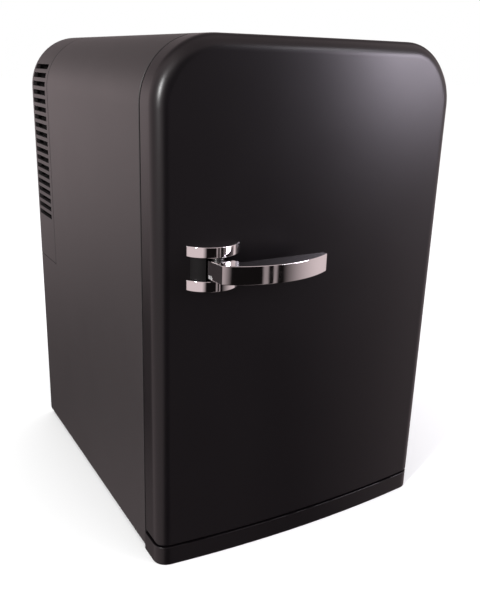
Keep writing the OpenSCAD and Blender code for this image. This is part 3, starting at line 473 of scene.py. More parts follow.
def finish_piece(piece, node, edge=0.0, angle=35):
    """Gives a piece its finish, lets it ride, rounds edges sharper than `angle` by `edge` mm."""
    if edge:
        bevel = piece.modifiers.new("edges", "BEVEL")
        bevel.width, bevel.segments = edge * mm, 2
        bevel.limit_method, bevel.angle_limit = "ANGLE", np.radians(angle)
        bevel.miter_outer = "MITER_ARC"
    piece.data.materials.clear()
    piece.data.materials.append(finishes[slots[node]])
    piece.data.polygons.foreach_set("use_smooth", np.ones(len(piece.data.polygons), bool))
    piece.data.set_sharp_from_angle(angle=np.radians(angle + 10))
    weights = piece.modifiers.new("even_shading", "WEIGHTED_NORMAL")
    weights.keep_sharp = True
    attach(piece, body_of[node])
    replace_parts(piece, node)
    made.append(piece.name)

# %% [markdown]
# ## Outlines
# The cabinet, the door, the cavity and the gasket are all one family of outlines: a rounded
# rectangle with two corner radii. One function draws it with the same number of points whatever
# its size, so an outline and the same outline shrunk by a millimetre can be joined point by point.

# %% Rounded outlines, prisms and turned shapes
def outline(half, low, high, r_top, r_low):
    """A rounded rectangle seen from the front, as rows of x and z: four quarter circles joined
    by straight runs, whose points crowd towards the corners."""
    eased = (1 - np.cos(np.linspace(0, np.pi, 26))) / 2
    corners = [(half - r_low, low + r_low, r_low, -90), (half - r_top, high - r_top, r_top, 0),
               (r_top - half, high - r_top, r_top, 90), (r_low - half, low + r_low, r_low, 180)]
    arcs = []
    for x, z, r, start in corners:
        turn = np.radians(np.linspace(start, start + 90, 19))
        arcs.append(np.stack([x + r * np.cos(turn), z + r * np.sin(turn)], -1))
    runs = [arcs[i][-1] + (arcs[(i + 1) % 4][0] - arcs[i][-1]) * eased[1:-1, None]
            for i in range(4)]
    return np.concatenate([part for pair in zip(arcs, runs) for part in pair])


def upright(flat, y):
    """Stands an outline of x and z up at depth `y`."""
    return np.stack([flat[:, 0], np.broadcast_to(y, len(flat)), flat[:, 1]], -1)


def level(flat, z):
    """Lays an outline of x and y down at height `z`."""
    return np.stack([flat[:, 0], flat[:, 1], np.broadcast_to(z, len(flat))], -1)


def prism(name, points, low, high):
    """An upright closed prism over a polygon of x and y."""
    flat = np.asarray(points, float)
    return solid(name, [level(flat, low), level(flat, high)], flat_ends=True)


def block(name, low, high):
    """A plain box between two corners, for cutting."""
    (x0, y0, z0), (x1, y1, z1) = low, high
    return prism(name, [(x0, y0), (x1, y0), (x1, y1), (x0, y1)], z0, z1)


def turned(name, profile, centre, axis="y", sides=48):
    """A lathe-turned shape: rows of (distance along the axis, radius), swept round the axis."""
    along, radius = np.asarray(profile, float).T
    turn = 2 * np.pi * np.arange(sides) / sides
    c, s = radius[:, None] * np.cos(turn), radius[:, None] * np.sin(turn)
    a = np.broadcast_to(along[:, None], c.shape)
    rings = np.stack([c, a, s] if axis == "y" else [c, s, a], -1) + np.asarray(centre)
    return solid(name, rings)


def rod(r, low, high, centre, axis="z", sides=48):
    """A plain round bar from `low` to `high` along its axis, to cut with or to add."""
    return turned("rod", [(low, 0), (low, r), (high, r), (high, 0)], centre, axis, sides)


def sided(side, near, far):
    """Two distances from the middle, as x values in rising order on one side of it."""
    return sorted((side * near, side * far))


def square_of(reach, middle):
    """The four places (x, z) at `reach` to each side of a middle height, and above and below it."""
    return [(dx * reach, middle + dz * reach) for dx in (-1, 1) for dz in (-1, 1)]


def corner(r, steps=5):
    """A quarter round of radius r in steps: rows of (distance moved inwards, distance left to go)."""
    turn = np.linspace(0, np.pi / 2, steps)
    return np.stack([r * (1 - np.cos(turn)), r * (1 - np.sin(turn))], -1)


def to_centre(ring, shares):
    """The same ring drawn smaller and smaller towards its middle, down to one point."""
    middle = (ring.max(0) + ring.min(0)) / 2
    return [middle + (ring - middle) * share for share in shares]


def closing(ring, y, shares):
    """An outline at depth `y`, drawn at each of these shares of its size."""
    return [upright(flat, y) for flat in to_centre(ring, shares)]

# %% [markdown]
# ## The sizes that the surfaces need
# The outer sizes are read from the imported parts; radii, wall thicknesses and hinge places are
# given as numbers. The cabinet's front face is the plane that the door closes on. Depths below are
# counted from it, so a negative depth is in front of it.

# %% Measured sizes
shell_low, shell_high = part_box("cabinet_shell")
door_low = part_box("door_outer")[0]
cover_low, cover_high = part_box("rear_cover")
half_w = shell_high.x
face = shell_low.y
top = shell_high.z
base = shell_low.z
top_r, low_r = 33 * mm, 3 * mm
shell_t, skin_t, liner_t, shelf_t = 2.2 * mm, 2 * mm, 1.5 * mm, 3 * mm
door_mid = face - door_low.y
door_bow = 4.5 * mm
soft_r = 8 * mm
bow_x = half_w - soft_r
bow_r = (bow_x ** 2 + door_bow ** 2) / (2 * door_bow)
hinge_x, hinge_y = half_w - 5 * mm, face - 9 * mm
swing_r, arm_r, arm_t, notch_gap = 8.7 * mm, 4 * mm, 3 * mm, 0.4 * mm
arm_zs = (38 * mm, 232 * mm)
panel_y, panel_t, plug_y, plug_gap = face - 3 * mm, 2 * mm, face + 8 * mm, 3.5 * mm
print("width", round(2 * half_w / mm), "height", round(top / mm), "bow radius", round(bow_r / mm))

# %% [markdown]
# ## The door's skin
# The skin is one moulding: a face with a shallow bow from side to side, edges that roll over
# into the sides and the top, and large round corners. It could be cut from a block and bevelled,
# but a bevel has trouble where the bow, the edge and the corner meet. As a formula the three
# simply add up: the depth at any point is the bow, plus a quarter round that depends on how far
# the point is inside the outline.

# %% The door as a formula
def door_front(flat, inset):
    """Depth of the door's front at rows of x and z: the circle of the bow, plus a quarter circle
    of the edge radius by the distance inside the sides and the top, plus a small one at the
    bottom."""
    x, z = np.abs(flat[:, 0]), flat[:, 1]
    beyond = np.stack([x - (half_w - top_r), z - (top - top_r)])
    inside = top_r - np.hypot(*np.maximum(beyond, 0)) - np.minimum(beyond.max(0), 0) - inset
    bow = bow_r - np.sqrt(bow_r ** 2 - np.minimum(x, bow_x) ** 2)

    def roll(distance, r):
        return r - np.sqrt(r ** 2 - (r - np.clip(distance, 0, r)) ** 2)

    r_low = max(low_edge - inset, 0.1 * mm)
    edges = roll(inside, soft_r - inset) + roll(z - door_low.z - inset, r_low)
    return face - door_mid + inset + bow + edges


low_edge = 1.2 * mm


def door_rings(inset):
    """Rings from the middle of the door's front out to its side walls, `inset` inside the skin."""
    r, r_low = soft_r - inset, max(low_edge - inset, 0.1 * mm)
    rings = []
    for turn in np.radians(np.linspace(90, 0, 12)):
        s, s_low = r * (1 - np.cos(turn)), r_low * (1 - np.cos(turn))
        flat = outline(half_w - inset - s, door_low.z + inset + s_low, top - inset - s,
                       top_r - inset - s, max(low_r - inset / 2 - s, 0.15 * mm))
        rings.append(flat)
    inner = to_centre(rings[0], np.linspace(0, 1, 16)[:-1] ** 0.8)
    return [upright(flat, door_front(flat, inset)) for flat in inner + rings]


def door_outline(inset):
    """The door's outline, `inset` inside the skin."""
    return outline(half_w - inset, door_low.z + inset, top - inset, top_r - inset,
                   max(low_r - inset / 2, 0.2 * mm))

# %% The skin itself
def arm_notches(low, high):
    """What the two hinge arms need to be free of while the door swings: a round end at the pin,
    a way out to the back, and a way out to the side at the widest opening."""
    r = arm_r + 0.6 * mm
    turn = np.radians(np.linspace(180, 245, 8))
    arc = np.stack([hinge_x + r * np.cos(turn), hinge_y + r * np.sin(turn)], -1)
    way_out = arc[-1] + 12 * mm * np.array([np.cos(np.radians(25)), -np.sin(np.radians(25))])
    path = np.concatenate([[(hinge_x - r, high)], arc, [way_out], [(half_w + 6 * mm, high)]])
    return joined("notches", [prism("notch", path, z - notch_gap, z + arm_t + notch_gap)
                              for z in arm_zs])


def clear_of_swing(rings):
    """Rounds the edge behind the hinge to the circle that swings clear of the cabinet."""
    away = rings[..., :2] - (hinge_x, hinge_y)
    reach = np.hypot(away[..., 0], away[..., 1])
    shrink = np.where((away > 0).all(-1) & (reach > swing_r), swing_r / np.maximum(reach, mm), 1)
    rings[..., :2] = (hinge_x, hinge_y) + away * shrink[..., None]
    return rings


rear, rim_r = face - 1.4 * mm, 0.5 * mm
lip = corner(rim_r)
edge_line = door_front(door_outline(0), 0)
walls = [upright(door_outline(0), edge_line + (rear - rim_r - edge_line) * share)
         for share in (0.3, 0.6, 0.85)]
rim_out = [upright(door_outline(a), rear - b) for a, b in lip]
rim_in = [upright(door_outline(skin_t - a), rear - b) for a, b in lip[::-1]]
skin_rings = np.array(door_rings(0) + walls + rim_out + rim_in + door_rings(skin_t)[::-1])
door_skin = solid("door_skin", clear_of_swing(skin_rings))
lever_low, lever_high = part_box("handle_lever")
pin_low, pin_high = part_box("lever_pin")
pivot_x, pivot_y = (pin_low.x + pin_high.x) / 2, (pin_low.y + pin_high.y) / 2
handle_z = (pin_low.z + pin_high.z) / 2
window_half, window_h = 4.6 * mm, 9.8 * mm
combine(door_skin, block("window", (pivot_x - window_half, pivot_y - 4 * mm, handle_z - window_h / 2),
                         (pivot_x + window_half + 0.6 * mm, pivot_y + 10 * mm,
                          handle_z + window_h / 2)))
combine(door_skin, arm_notches(hinge_y - 10 * mm, face + mm))
finish_piece(door_skin, "door_outer")
print("door skin:", len(door_skin.data.polygons), "faces")

# %% [markdown]
# ## The door's inside: panel, plug and gasket
# A light panel closes the door from behind, and a shallow plug on it reaches into the cavity. The
# gasket is a soft profile of rubber, a flat foot with a raised bead, that runs round the plug. A
# profile carried along the outline is the plain way to make it.

# %% Panel, plug and gasket
cav_half, cav_floor, cav_top, cav_r = 68 * mm, 36 * mm, 248 * mm, 8 * mm


def cavity(grow):
    """The cavity's outline, `grow` outside its walls."""
    r = cav_r + grow
    return outline(cav_half + grow, cav_floor - grow, cav_top + grow, r, r)


def door_panel():
    """The panel with its plug, one closed shell: over the front of the panel, round the plug's
    edges and back through its hollow."""
    edge_r = 2.5 * mm
    round_edge, fillet = corner(edge_r, 7), corner(1.2 * mm)
    rings = [upright(door_outline(skin_t), y) for y in (panel_y - panel_t, panel_y)]
    rings += [upright(cavity(b - plug_gap), panel_y + a) for a, b in fillet]
    rings += [upright(cavity(-plug_gap - a), plug_y - b) for a, b in round_edge]
    rings += closing(cavity(-plug_gap - edge_r), plug_y, np.linspace(0.9, 0, 6))
    hollow = cavity(-plug_gap - panel_t)
    rings += closing(hollow, plug_y - panel_t, (0, 0.5, 1))
    rings += [upright(hollow, panel_y - panel_t)]
    return solid("door_panel", rings, loop=True)


panel = door_panel()
combine(panel, arm_notches(hinge_y - 10 * mm, face + mm))
hook_low, hook_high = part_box("latch_hook")
combine(panel, block("hook_way", (-86 * mm, face - 6 * mm, hook_low.z - mm),
                     (-73 * mm, face - 2 * mm, hook_high.z + mm)))
finish_piece(panel, "door_inner", edge=0.25)

gasket_profile = [(1.0, -3.0), (1.0, -1.9), (1.5, -1.6), (2.0, -1.2), (2.1, -0.5), (2.6, -0.1),
                  (3.7, 0.0), (4.9, -0.1), (5.4, -0.5), (5.5, -1.2), (6.0, -1.6), (6.5, -1.9),
                  (6.5, -3.0), (3.7, -3.0)]
gasket = solid("door_gasket_lip", [upright(cavity(out * mm), face + back * mm)
                                   for out, back in gasket_profile], loop=True)
finish_piece(gasket, "door_gasket")

# %% [markdown]
# ## The cabinet's shell and its rear cover
# The shell is one outline drawn from front to back as a thin tube. The rear cover has the same
# outline, so the two look like one body with a fine seam. Its air slots are cut with a solid
# cutter, one long low box for each slot, because a slot that runs over the round corner has an
# edge that no simple formula follows.

# %% Shell
def tube(name, start, end, wall, edge):
    """The cabinet's outline as a tube from `start` back to `end`, with small rounded lips."""
    lip = corner(edge)
    outer = [(a, start + b) for a, b in lip[::-1]] + [(0, start + (end - start) * s)
             for s in np.linspace(0.05, 0.95, 10)] + [(a, end - b) for a, b in lip]
    inner = [(wall - a, end - b) for a, b in lip[::-1]] + [(wall - a, start + b) for a, b in lip]
    return solid(name, [upright(body_outline(inset), y) for inset, y in outer + inner], loop=True)


def body_outline(inset):
    """The cabinet's outline, `inset` inside its surface."""
    return outline(half_w - inset, base + inset, top - inset, top_r - inset, low_r - inset / 2)


shell = tube("shell", face, shell_high.y, shell_t, 0.4 * mm)
cover_seam = cover_low.y - 0.9 * mm
combine(shell, block("behind", (-1, cover_seam, cover_low.z - 0.4 * mm), (1, 1, 1)))
finish_piece(shell, "cabinet_shell")

# %% Rear cover with its slots
def rear_cover():
    """A deep tray with the cabinet's outline, its back rounded into its walls."""
    wall, back_r = 2.5 * mm, 2 * mm
    soft, lip = corner(back_r, 7), corner(0.5 * mm, 3)
    rings = [upright(body_outline(a), cover_low.y + b) for a, b in lip[::-1]]
    rings += [upright(body_outline(0), cover_low.y + 18 * mm)]
    rings += [upright(body_outline(a), back - b) for a, b in soft]
    rings += closing(body_outline(back_r), back, np.linspace(0.93, 0, 8))
    inner = body_outline(wall)
    rings += closing(inner, back - wall, np.linspace(0, 1, 8)) + [upright(inner, cover_low.y)]
    return solid("vent_cover", rings, loop=True)


def slot_cutters():
    """Cutters for the slots in both sides and for the round grille in the back."""
    cutters = []
    for z in slot_z + slot_pitch * np.arange(slot_count):
        for side in (-1, 1):
            near, far = sided(side, half_w - 10 * mm, half_w + mm)
            cutters.append(block("slot", (near, face + 161 * mm, z - slot_h / 2),
                                 (far, face + 189.5 * mm, z + slot_h / 2)))
    for step in np.arange(-6, 7) * slot_pitch:
        w = np.sqrt(grille_r ** 2 - step ** 2)
        cutters.append(block("slot", (-w, back - 4 * mm, fan_z + step - slot_h / 2),
                             (w, back + mm, fan_z + step + slot_h / 2)))
    return joined("slots", cutters)


fan_low, fan_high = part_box("fan_frame")
fan_z = (fan_low.z + fan_high.z) / 2
slot_count, slot_pitch, slot_h, slot_z, grille_r = 19, 5.48 * mm, 3.1 * mm, 162.1 * mm, 40 * mm
screw_r, back = 1.4 * mm, cover_high.y
cover_screws = [(side * x * mm, z * mm) for x, z in ((72, 142), (60, 262)) for side in (-1, 1)]
panel_screws = [(side * 76 * mm, z * mm) for z in (18, 118) for side in (-1, 1)]
cover = rear_cover()
combine(cover, block("under", (-1, face, -1), (1, 1, cover_low.z)))
posts = [rod(5.3 * mm, back - 5.5 * mm, back - 1.2 * mm, (x, 0, z), "y") for x, z in cover_screws]
combine(cover, joined("posts", posts), "UNION")
wells = [turned("well", [(back - 2.4 * mm, 0), (back - 2.4 * mm, 3.2 * mm), (back - 0.4 * mm, 3.2 * mm),
                         (back + mm, 4.2 * mm), (back + mm, 0)], (x, 0, z))
         for x, z in cover_screws]
bores = [rod(screw_r, back - 7 * mm, back, (x, 0, z), "y", 24) for x, z in cover_screws]
combine(cover, slot_cutters())
combine(cover, joined("wells", wells))
combine(cover, joined("bores", bores))
finish_piece(cover, "rear_cover", edge=0.2)
print("shell", len(shell.data.polygons), "faces, cover", len(cover.data.polygons), "faces")

# %% [markdown]
# ## The foam core of the door
# Rigid foam is poured between the skin and the panel, so it takes the inner shape of the skin
# exactly. The same door formula, drawn one skin thickness further in, gives that shape.

# %% Door core
def door_core():
    """Foam from the inside of the skin to the panel, and on into the hollow of the plug."""
    panel_at, plug_at = panel_y - panel_t, plug_y - panel_t
    side = door_outline(skin_t)
    front = door_front(side, skin_t)
    rings = door_rings(skin_t) + [upright(side, front + (panel_at - front) * s) for s in (0.5, 1)]
    hollow = cavity(-plug_gap - panel_t)
    rings += [upright(hollow, panel_at)] + closing(hollow, plug_at, (1, 0.6, 0.3, 0))
    return solid("door_core", rings)


core = door_core()
hook_room = block("hook_room", (-86.8 * mm, face - 18.4 * mm, handle_z - 5.5 * mm),
                  (pivot_x + 7.5 * mm, face - 4.9 * mm, hook_high.z + 2.5 * mm))
screw_room = block("screw_room", (-73.5 * mm, face - 26 * mm, handle_z - 14 * mm),
                   (-48.5 * mm, face - 14 * mm, handle_z + 14 * mm))
hinge_rooms = [block("hinge_room", (hinge_x - 7 * mm, face - 17.4 * mm, z - 8.5 * mm),
                     (half_w, panel_y - panel_t, z + 11.5 * mm)) for z in arm_zs]
for room in (hook_room, screw_room, *hinge_rooms):
    combine(core, room)
finish_piece(core, "door_foam")

# %% [markdown]
# ## Plinth and feet
# The plinth is a low tray in the plan shape of the door, so it is drawn in plan and not from the
# front. It is hollow below and holds the two front feet. The feet are rubber discs with a stud
# that snaps into a hole, turned on a lathe in one profile.

# %% Plinth
def door_plan(inset, back):
    """The door's plan as a closed row of x and y: straight back, rolled corners, bowed front."""
    r = soft_r - inset
    centre_y = face - door_mid + bow_r
    lean = np.arcsin(bow_x / (bow_r - soft_r))
    soft_y = centre_y - (bow_r - soft_r) * np.cos(lean)
    bend = np.linspace(-lean, lean, 61)
    bow = np.stack([(bow_r - inset) * np.sin(bend), centre_y - (bow_r - inset) * np.cos(bend)], -1)
    turn = np.linspace(0, np.pi / 2 - lean, 9)[:-1]
    roll = np.stack([bow_x + r * np.cos(turn), soft_y - r * np.sin(turn)], -1)
    left = roll * (-1, 1)
    ends = [(-(half_w - inset), back), (0, back), (half_w - inset, back)]
    return np.concatenate([left, bow, roll[::-1], ends[::-1]])


plinth_top, plinth_floor, plinth_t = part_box("plinth")[1].z, 0.3 * mm, 2.2 * mm
foot_h, foot_x, stud_r = base, 70 * mm, 2.5 * mm
lip = corner(0.3 * mm, 3)
plinth_rings = [level(door_plan(plinth_t, face - plinth_t), z)
                for z in (plinth_top - plinth_t, plinth_floor)]
plinth_rings += [level(door_plan(a, face - a), plinth_floor + b) for a, b in lip[::-1]]
plinth_rings += [level(door_plan(a, face - a), plinth_top - b) for a, b in lip]
plinth = solid("kick_plinth", plinth_rings, flat_ends=True)
for side in (-1, 1):
    foot_at = (side * foot_x, face - 10 * mm, 0)
    combine(plinth, rod(6 * mm, foot_h, 10.4 * mm, foot_at), "UNION")
    combine(plinth, rod(stud_r, 0, foot_h + 4 * mm, foot_at, sides=24))
    near, far = sided(side, 42 * mm, 58 * mm)
    combine(plinth, block("tab", (near, face - mm, 6 * mm), (far, face + 7 * mm, 8.5 * mm)), "UNION")
finish_piece(plinth, "plinth")

# %% Feet
def foot(x, y, r):
    """A rubber foot: a soft-edged disc with a groove in its sole and a stud on top."""
    disc = [(0.3, 0), (0.3, r - 3.6), (0.1, r - 3.2), (0, r - 2.8), (0, r - 1.0), (0.1, r - 0.4),
            (0.35, r), (0.95, r), (1.1, r - 0.1), (1.2, r - 0.4), (1.2, 2.5), (3.9, 2.5),
            (4.5, 2.1), (4.7, 1.4), (4.7, 0)]
    return turned("foot", np.array(disc) * mm, (x, y, 0), "z")


feet = [foot(side * foot_x, face + y * mm, r) for side in (-1, 1) for y, r in ((-10, 6), (175, 8))]
finish_piece(joined("rubber_feet", feet), "feet")

# %% [markdown]
# ## The chrome handle
# The handle is a lever between two half-round cheeks. Each is a flat shape with its edges rounded
# by about half a millimetre, and on a mirror finish those narrow round edges matter most: each catches
# the light as a fine bright line. So the plan is worked out as a curve, shrunk a little for each
# step of the edge, and the steps are stacked.

# %% Slabs with rounded edges
def slab(name, plan, low, high, edge):
    """A flat piece from `low` to `high` whose plan is plan(inset), with its edges rounded."""
    lip = corner(edge, 6)
    rings = [level(plan(a), low + b) for a, b in lip[::-1]]
    rings += [level(plan(a), high - b) for a, b in lip]
    return solid(name, rings, flat_ends=True)


def shrunk(flat, inset):
    """A closed row of x and y moved inwards by `inset` along its own normals. It has to run
    anticlockwise, because inwards is then always to the left of the way round."""
    way = np.roll(flat, -1, 0) - flat
    way /= np.linalg.norm(way, axis=1)[:, None]
    left = np.stack([-way[:, 1], way[:, 0]], -1)
    both = left + np.roll(left, 1, 0)
    share = np.maximum((both ** 2).sum(1), 0.8)
    return flat + inset * 2 * both / share[:, None]

# %% Cheeks and base block
pin_at = (pivot_x, pivot_y, 0)
cheek_x, cheek_w, cheek_out = -60.65 * mm, 27.7 * mm, 7.4 * mm
cheek_r = (cheek_w ** 2 / 4 + cheek_out ** 2) / (2 * cheek_out)
cheek_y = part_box("upper_cheek")[0].y + cheek_r
chrome_edge, barrel_r = 0.45 * mm, 5.6 * mm


def bow_at(x):
    """Depth of the door's bowed front at x."""
    return face - door_mid + bow_r - np.sqrt(bow_r ** 2 - np.asarray(x) ** 2)


def cheek_plan(inset):
    """A segment of a circle in front of the door: the arc, then back along the bowed skin."""
    r = cheek_r - inset
    half = cheek_w / 2 - 0.05 * mm
    for _ in range(3):
        turn = np.arccos(np.clip((bow_at(cheek_x - half) - cheek_y) / -r, -1, 1))
        half = r * np.sin(turn)
    right = np.arccos((bow_at(cheek_x + half) - cheek_y) / -r)
    bend = np.linspace(-turn, right, 61)
    arc = np.stack([cheek_x + r * np.sin(bend), cheek_y - r * np.cos(bend)], -1)
    x = np.linspace(arc[-1, 0], arc[0, 0], 14)[1:-1]
    return np.concatenate([arc, np.stack([x, bow_at(x)], -1)])


for node in ("upper_cheek", "lower_cheek"):
    low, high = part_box(node)
    cheek = slab("chrome_" + node, cheek_plan, low.z, high.z, chrome_edge)
    combine(cheek, rod(1.5 * mm, pin_low.z, pin_high.z, pin_at, sides=24))
    finish_piece(cheek, node)

base_low, base_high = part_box("handle_base")
base_block = slab("handle_base_block", lambda a: cheek_plan(1.6 * mm + a), base_low.z, base_high.z,
                  0.3 * mm)
combine(base_block, block("right", (base_high.x, face - 50 * mm, base_low.z - mm),
                          (0, face, base_high.z + mm)))
combine(base_block, rod(barrel_r + 0.6 * mm, base_low.z - mm, base_high.z + mm, pin_at))
finish_piece(base_block, "handle_base", edge=0.3)

# %% Lever
lever_front, lever_back = lever_low.y, face - 36 * mm
tip_x = lever_high.x
arc_r, arc_x, crease_x = 57.3 * mm, -35 * mm, -65.5 * mm


def lever_plan(inset):
    """The lever from above: a bowed front that thins towards the tip, a flat back, a barrel
    round the pin and a slanted facet from the barrel to the crease."""
    arc_y = lever_front + arc_r
    bend = np.arcsin((np.linspace(crease_x, tip_x, 60) - arc_x) / arc_r)
    front = np.stack([arc_x + arc_r * np.sin(bend), arc_y - arc_r * np.cos(bend)], -1)
    x = np.linspace(tip_x, pivot_x + 8 * mm, 30)
    back_line = np.stack([x, np.full(30, lever_back)], -1)
    turn = np.radians(np.linspace(-29, 194.5, 40))
    barrel = np.stack([pivot_x + barrel_r * np.cos(turn), pivot_y + barrel_r * np.sin(turn)], -1)
    facet = barrel[-1] + (front[0] - barrel[-1]) * np.linspace(0, 1, 12)[1:-1, None]
    return shrunk(np.concatenate([front, back_line, barrel, facet]), inset)


lever = slab("pull_lever", lever_plan, lever_low.z, lever_high.z, chrome_edge)
arm = block("arm", (pivot_x - 2.5 * mm, pivot_y, lever_low.z + 0.5 * mm),
            (pivot_x + 2.5 * mm, face - 11.5 * mm, hook_low.z))
combine(lever, arm, "UNION")
spring_low, spring_high = handle_z + 0.3 * mm, handle_z + 3.6 * mm
for low, high, r in ((lever_low.z - mm, lever_high.z + mm, 1.55), (spring_low, spring_high, 3.6)):
    combine(lever, rod(r * mm, low, high, pin_at, sides=32))
combine(lever, block("leg", (pivot_x - 4.6 * mm, pivot_y, spring_low),
                     (pivot_x + mm, pivot_y + 8 * mm, spring_high)))
combine(lever, rod(1.2 * mm, hook_low.z - 3 * mm, hook_low.z + mm,
                   (pivot_x, face - 13.75 * mm, 0), sides=24))
finish_piece(lever, "handle_lever", angle=30)
print("lever reaches", round((face - lever_front) / mm, 1), "mm in front of the cabinet")

# %% [markdown]
# ## The cavity
# The liner is vacuum formed from one sheet, so it has no sharp inside corner: the walls run into
# each other and into the back wall over a wide round. Ribs in the side walls carry the shelf.

# %% Liner
cavity_end = face + 130 * mm
rib_t = 2.5 * mm


def liner_shell():
    """The sheet's inner face from the lip to the middle of the back wall, then its outer face."""
    deep_r = 7.5 * mm
    deep, lip = corner(deep_r, 8), corner(0.9 * mm)
    rings = [upright(cavity(4 * mm), face + a) for a in (1 * mm, 0.3 * mm)]
    rings += [upright(cavity(3.7 * mm), face)]
    rings += [upright(cavity(b), face + a) for a, b in lip]
    rings += [upright(cavity(0), face + (1 + 121 * s) * mm) for s in np.linspace(0.05, 0.97, 8)]
    rings += [upright(cavity(-a), cavity_end - b) for a, b in deep]
    rings += closing(cavity(-deep_r), cavity_end, (0.8, 0.6, 0.4, 0.2, 0))
    rings += closing(cavity(liner_t), cavity_end + liner_t, (0, 0.5, 1))
    rings += [upright(cavity(liner_t), face + mm)]
    return solid("moulded_liner", rings, loop=True)


def bar_between(name, low, high, edge):
    """A straight bar between two corners whose long edges, which run along y, are rounded."""
    (x0, y0, z0), (x1, y1, z1) = low, high
    half, mid = (x1 - x0) / 2, (x0 + x1) / 2
    lip = corner(edge, 4)
    flat = [outline(half - a, z0 + a, z1 - a, edge * 1.2 - a, edge * 1.2 - a) + (mid, 0)
            for a, _ in lip]
    rings = [upright(f, y0 + b) for f, (a, b) in zip(flat[::-1], lip[::-1])]
    rings += [upright(f, y1 - b) for f, (a, b) in zip(flat, lip)]
    return solid(name, rings, flat_ends=True)


liner = liner_shell()
block_low, block_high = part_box("cold_block")
combine(liner, block("opening", (block_low.x, cavity_end - mm, block_low.z),
                     (block_high.x, cavity_end + 3 * mm, block_high.z)))
shelf_low, shelf_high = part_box("shelf")
for side in (-1, 1):
    for z in (shelf_low.z - rib_t, shelf_low.z + shelf_t + 0.6 * mm):
        near, far = sided(side, cav_half - 3.5 * mm, cav_half + 0.7 * mm)
        combine(liner, bar_between("rib", (near, face + 14 * mm, z),
                                   (far, face + 124 * mm, z + rib_t), 0.6 * mm), "UNION")
finish_piece(liner, "inner_liner")

# %% Shelf
shelf_half = shelf_high.x


def rack_plan(inset):
    """The shelf from above, with small round corners."""
    return outline(shelf_half - inset, shelf_low.y + inset, shelf_high.y - inset,
                   3 * mm - inset, 1.5 * mm - inset / 2)


rack = slab("slotted_shelf", rack_plan, shelf_low.z, shelf_low.z + shelf_t, 0.5 * mm)
front_lip = bar_between("front_lip", (-shelf_half + 4.5 * mm, shelf_low.y, shelf_low.z + 0.2 * mm),
                        (shelf_half - 4.5 * mm, shelf_low.y + 2.5 * mm, shelf_high.z), 0.8 * mm)
combine(rack, front_lip, "UNION")


def long_slot(x):
    """A slot with round ends, cut through the shelf."""
    turn = np.radians(np.linspace(0, 180, 13))
    r = 2.5 * mm
    near, far = shelf_low.y + 13.5 * mm, shelf_high.y - 12.5 * mm
    end = np.stack([x + r * np.cos(turn), far + r * np.sin(turn)], -1)
    start = np.stack([x - r * np.cos(turn), near - r * np.sin(turn)], -1)
    return prism("slot", np.concatenate([end, start]), shelf_low.z - mm, shelf_high.z + mm)


combine(rack, joined("slots", [long_slot(x) for x in 9 * mm * np.arange(-6, 7)]))
finish_piece(rack, "shelf", edge=0.3)

# %% [markdown]
# ## The cold plate, the fan and the screws
# The cold plate is a pressed sheet with rolled edges that sits on the cavity's back wall. The
# fan's blades are twisted: steep near the hub and flatter at the tip, as on a real fan, because
# the tip moves faster. Screws get a true cross recess, cut out of the turned head.

# %% Cold plate
plate_low, plate_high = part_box("cold_plate")


def plate_outline(inset):
    """The cold plate from the front."""
    r = 6 * mm - inset
    return outline(plate_high.x - inset, plate_low.z + inset, plate_high.z - inset, r, r)


def cold_sheet():
    """The plate's front from its middle out, round the rolled edge, and its back."""
    rolled = 0.7 * mm
    rings = closing(plate_outline(rolled), plate_low.y, (0, 0.5, 0.9))
    rings += [upright(plate_outline(a), plate_low.y + b) for a, b in corner(rolled)[::-1]]
    rings += closing(plate_outline(0), plate_high.y, (1, 0.9, 0.5, 0))
    return solid("cold_sheet", rings)


plate = cold_sheet()
plate_screws = square_of(20 * mm, fan_z)
sinks = [turned("sink", [(plate_low.y - 0.2 * mm, 0), (plate_low.y - 0.2 * mm, 3 * mm),
                         (plate_low.y + 1.6 * mm, 1.4 * mm), (plate_high.y + mm, 1.4 * mm),
                         (plate_high.y + mm, 0)], (x, 0, z), sides=32) for x, z in plate_screws]
combine(plate, joined("sinks", sinks))
finish_piece(plate, "cold_plate")

# %% Screws with a cross recess
def cross_screw(x, z, tip, head, r, domed):
    """One screw along y: a threaded shank and a head on the side of `head`. A domed head stands
    proud and a flat one is countersunk. The cross is cut with two flat blades."""
    way = 1 if head > tip else -1
    pitch, big = 0.55 * r, 2 * r
    length = abs(head - tip)
    turns = np.arange(0, length - pitch, pitch / 2)
    thread = [(s, r * (1.0 if i % 2 else 0.86)) for i, s in enumerate(turns)]
    if domed:
        bend = np.radians(np.linspace(0, 80, 7))
        cap = [(length, big)] + [(length + 0.3 * r + 0.7 * r * np.sin(b), big * (0.25 + 0.75 * np.cos(b)))
                                 for b in bend]
    else:
        cap = [(length - 1.05 * r, r), (length - 0.05 * r, big), (length, big * 0.96)]
    peak = cap[-1][0]
    profile = [(0, 0)] + thread[1:] + [(cap[0][0] - 0.05 * r, r)] + cap + [(peak, 0)]
    screw = turned("screw", [(tip + way * s, rad) for s, rad in profile], (x, 0, z), sides=24)
    near, far = sorted((tip + way * (peak - 0.55 * r), tip + way * (peak + 0.2 * r)))
    for w, h in ((1.15 * r, 0.2 * r), (0.2 * r, 1.15 * r)):
        combine(screw, block("cross", (x - w, near, z - h), (x + w, far, z + h)))
    return screw


def screw_set(name, node, places, tip, head, r, domed=True):
    """All the screws of one node as one piece."""
    finish_piece(joined(name, [cross_screw(x, z, tip, head, r, domed) for x, z in places]), node)


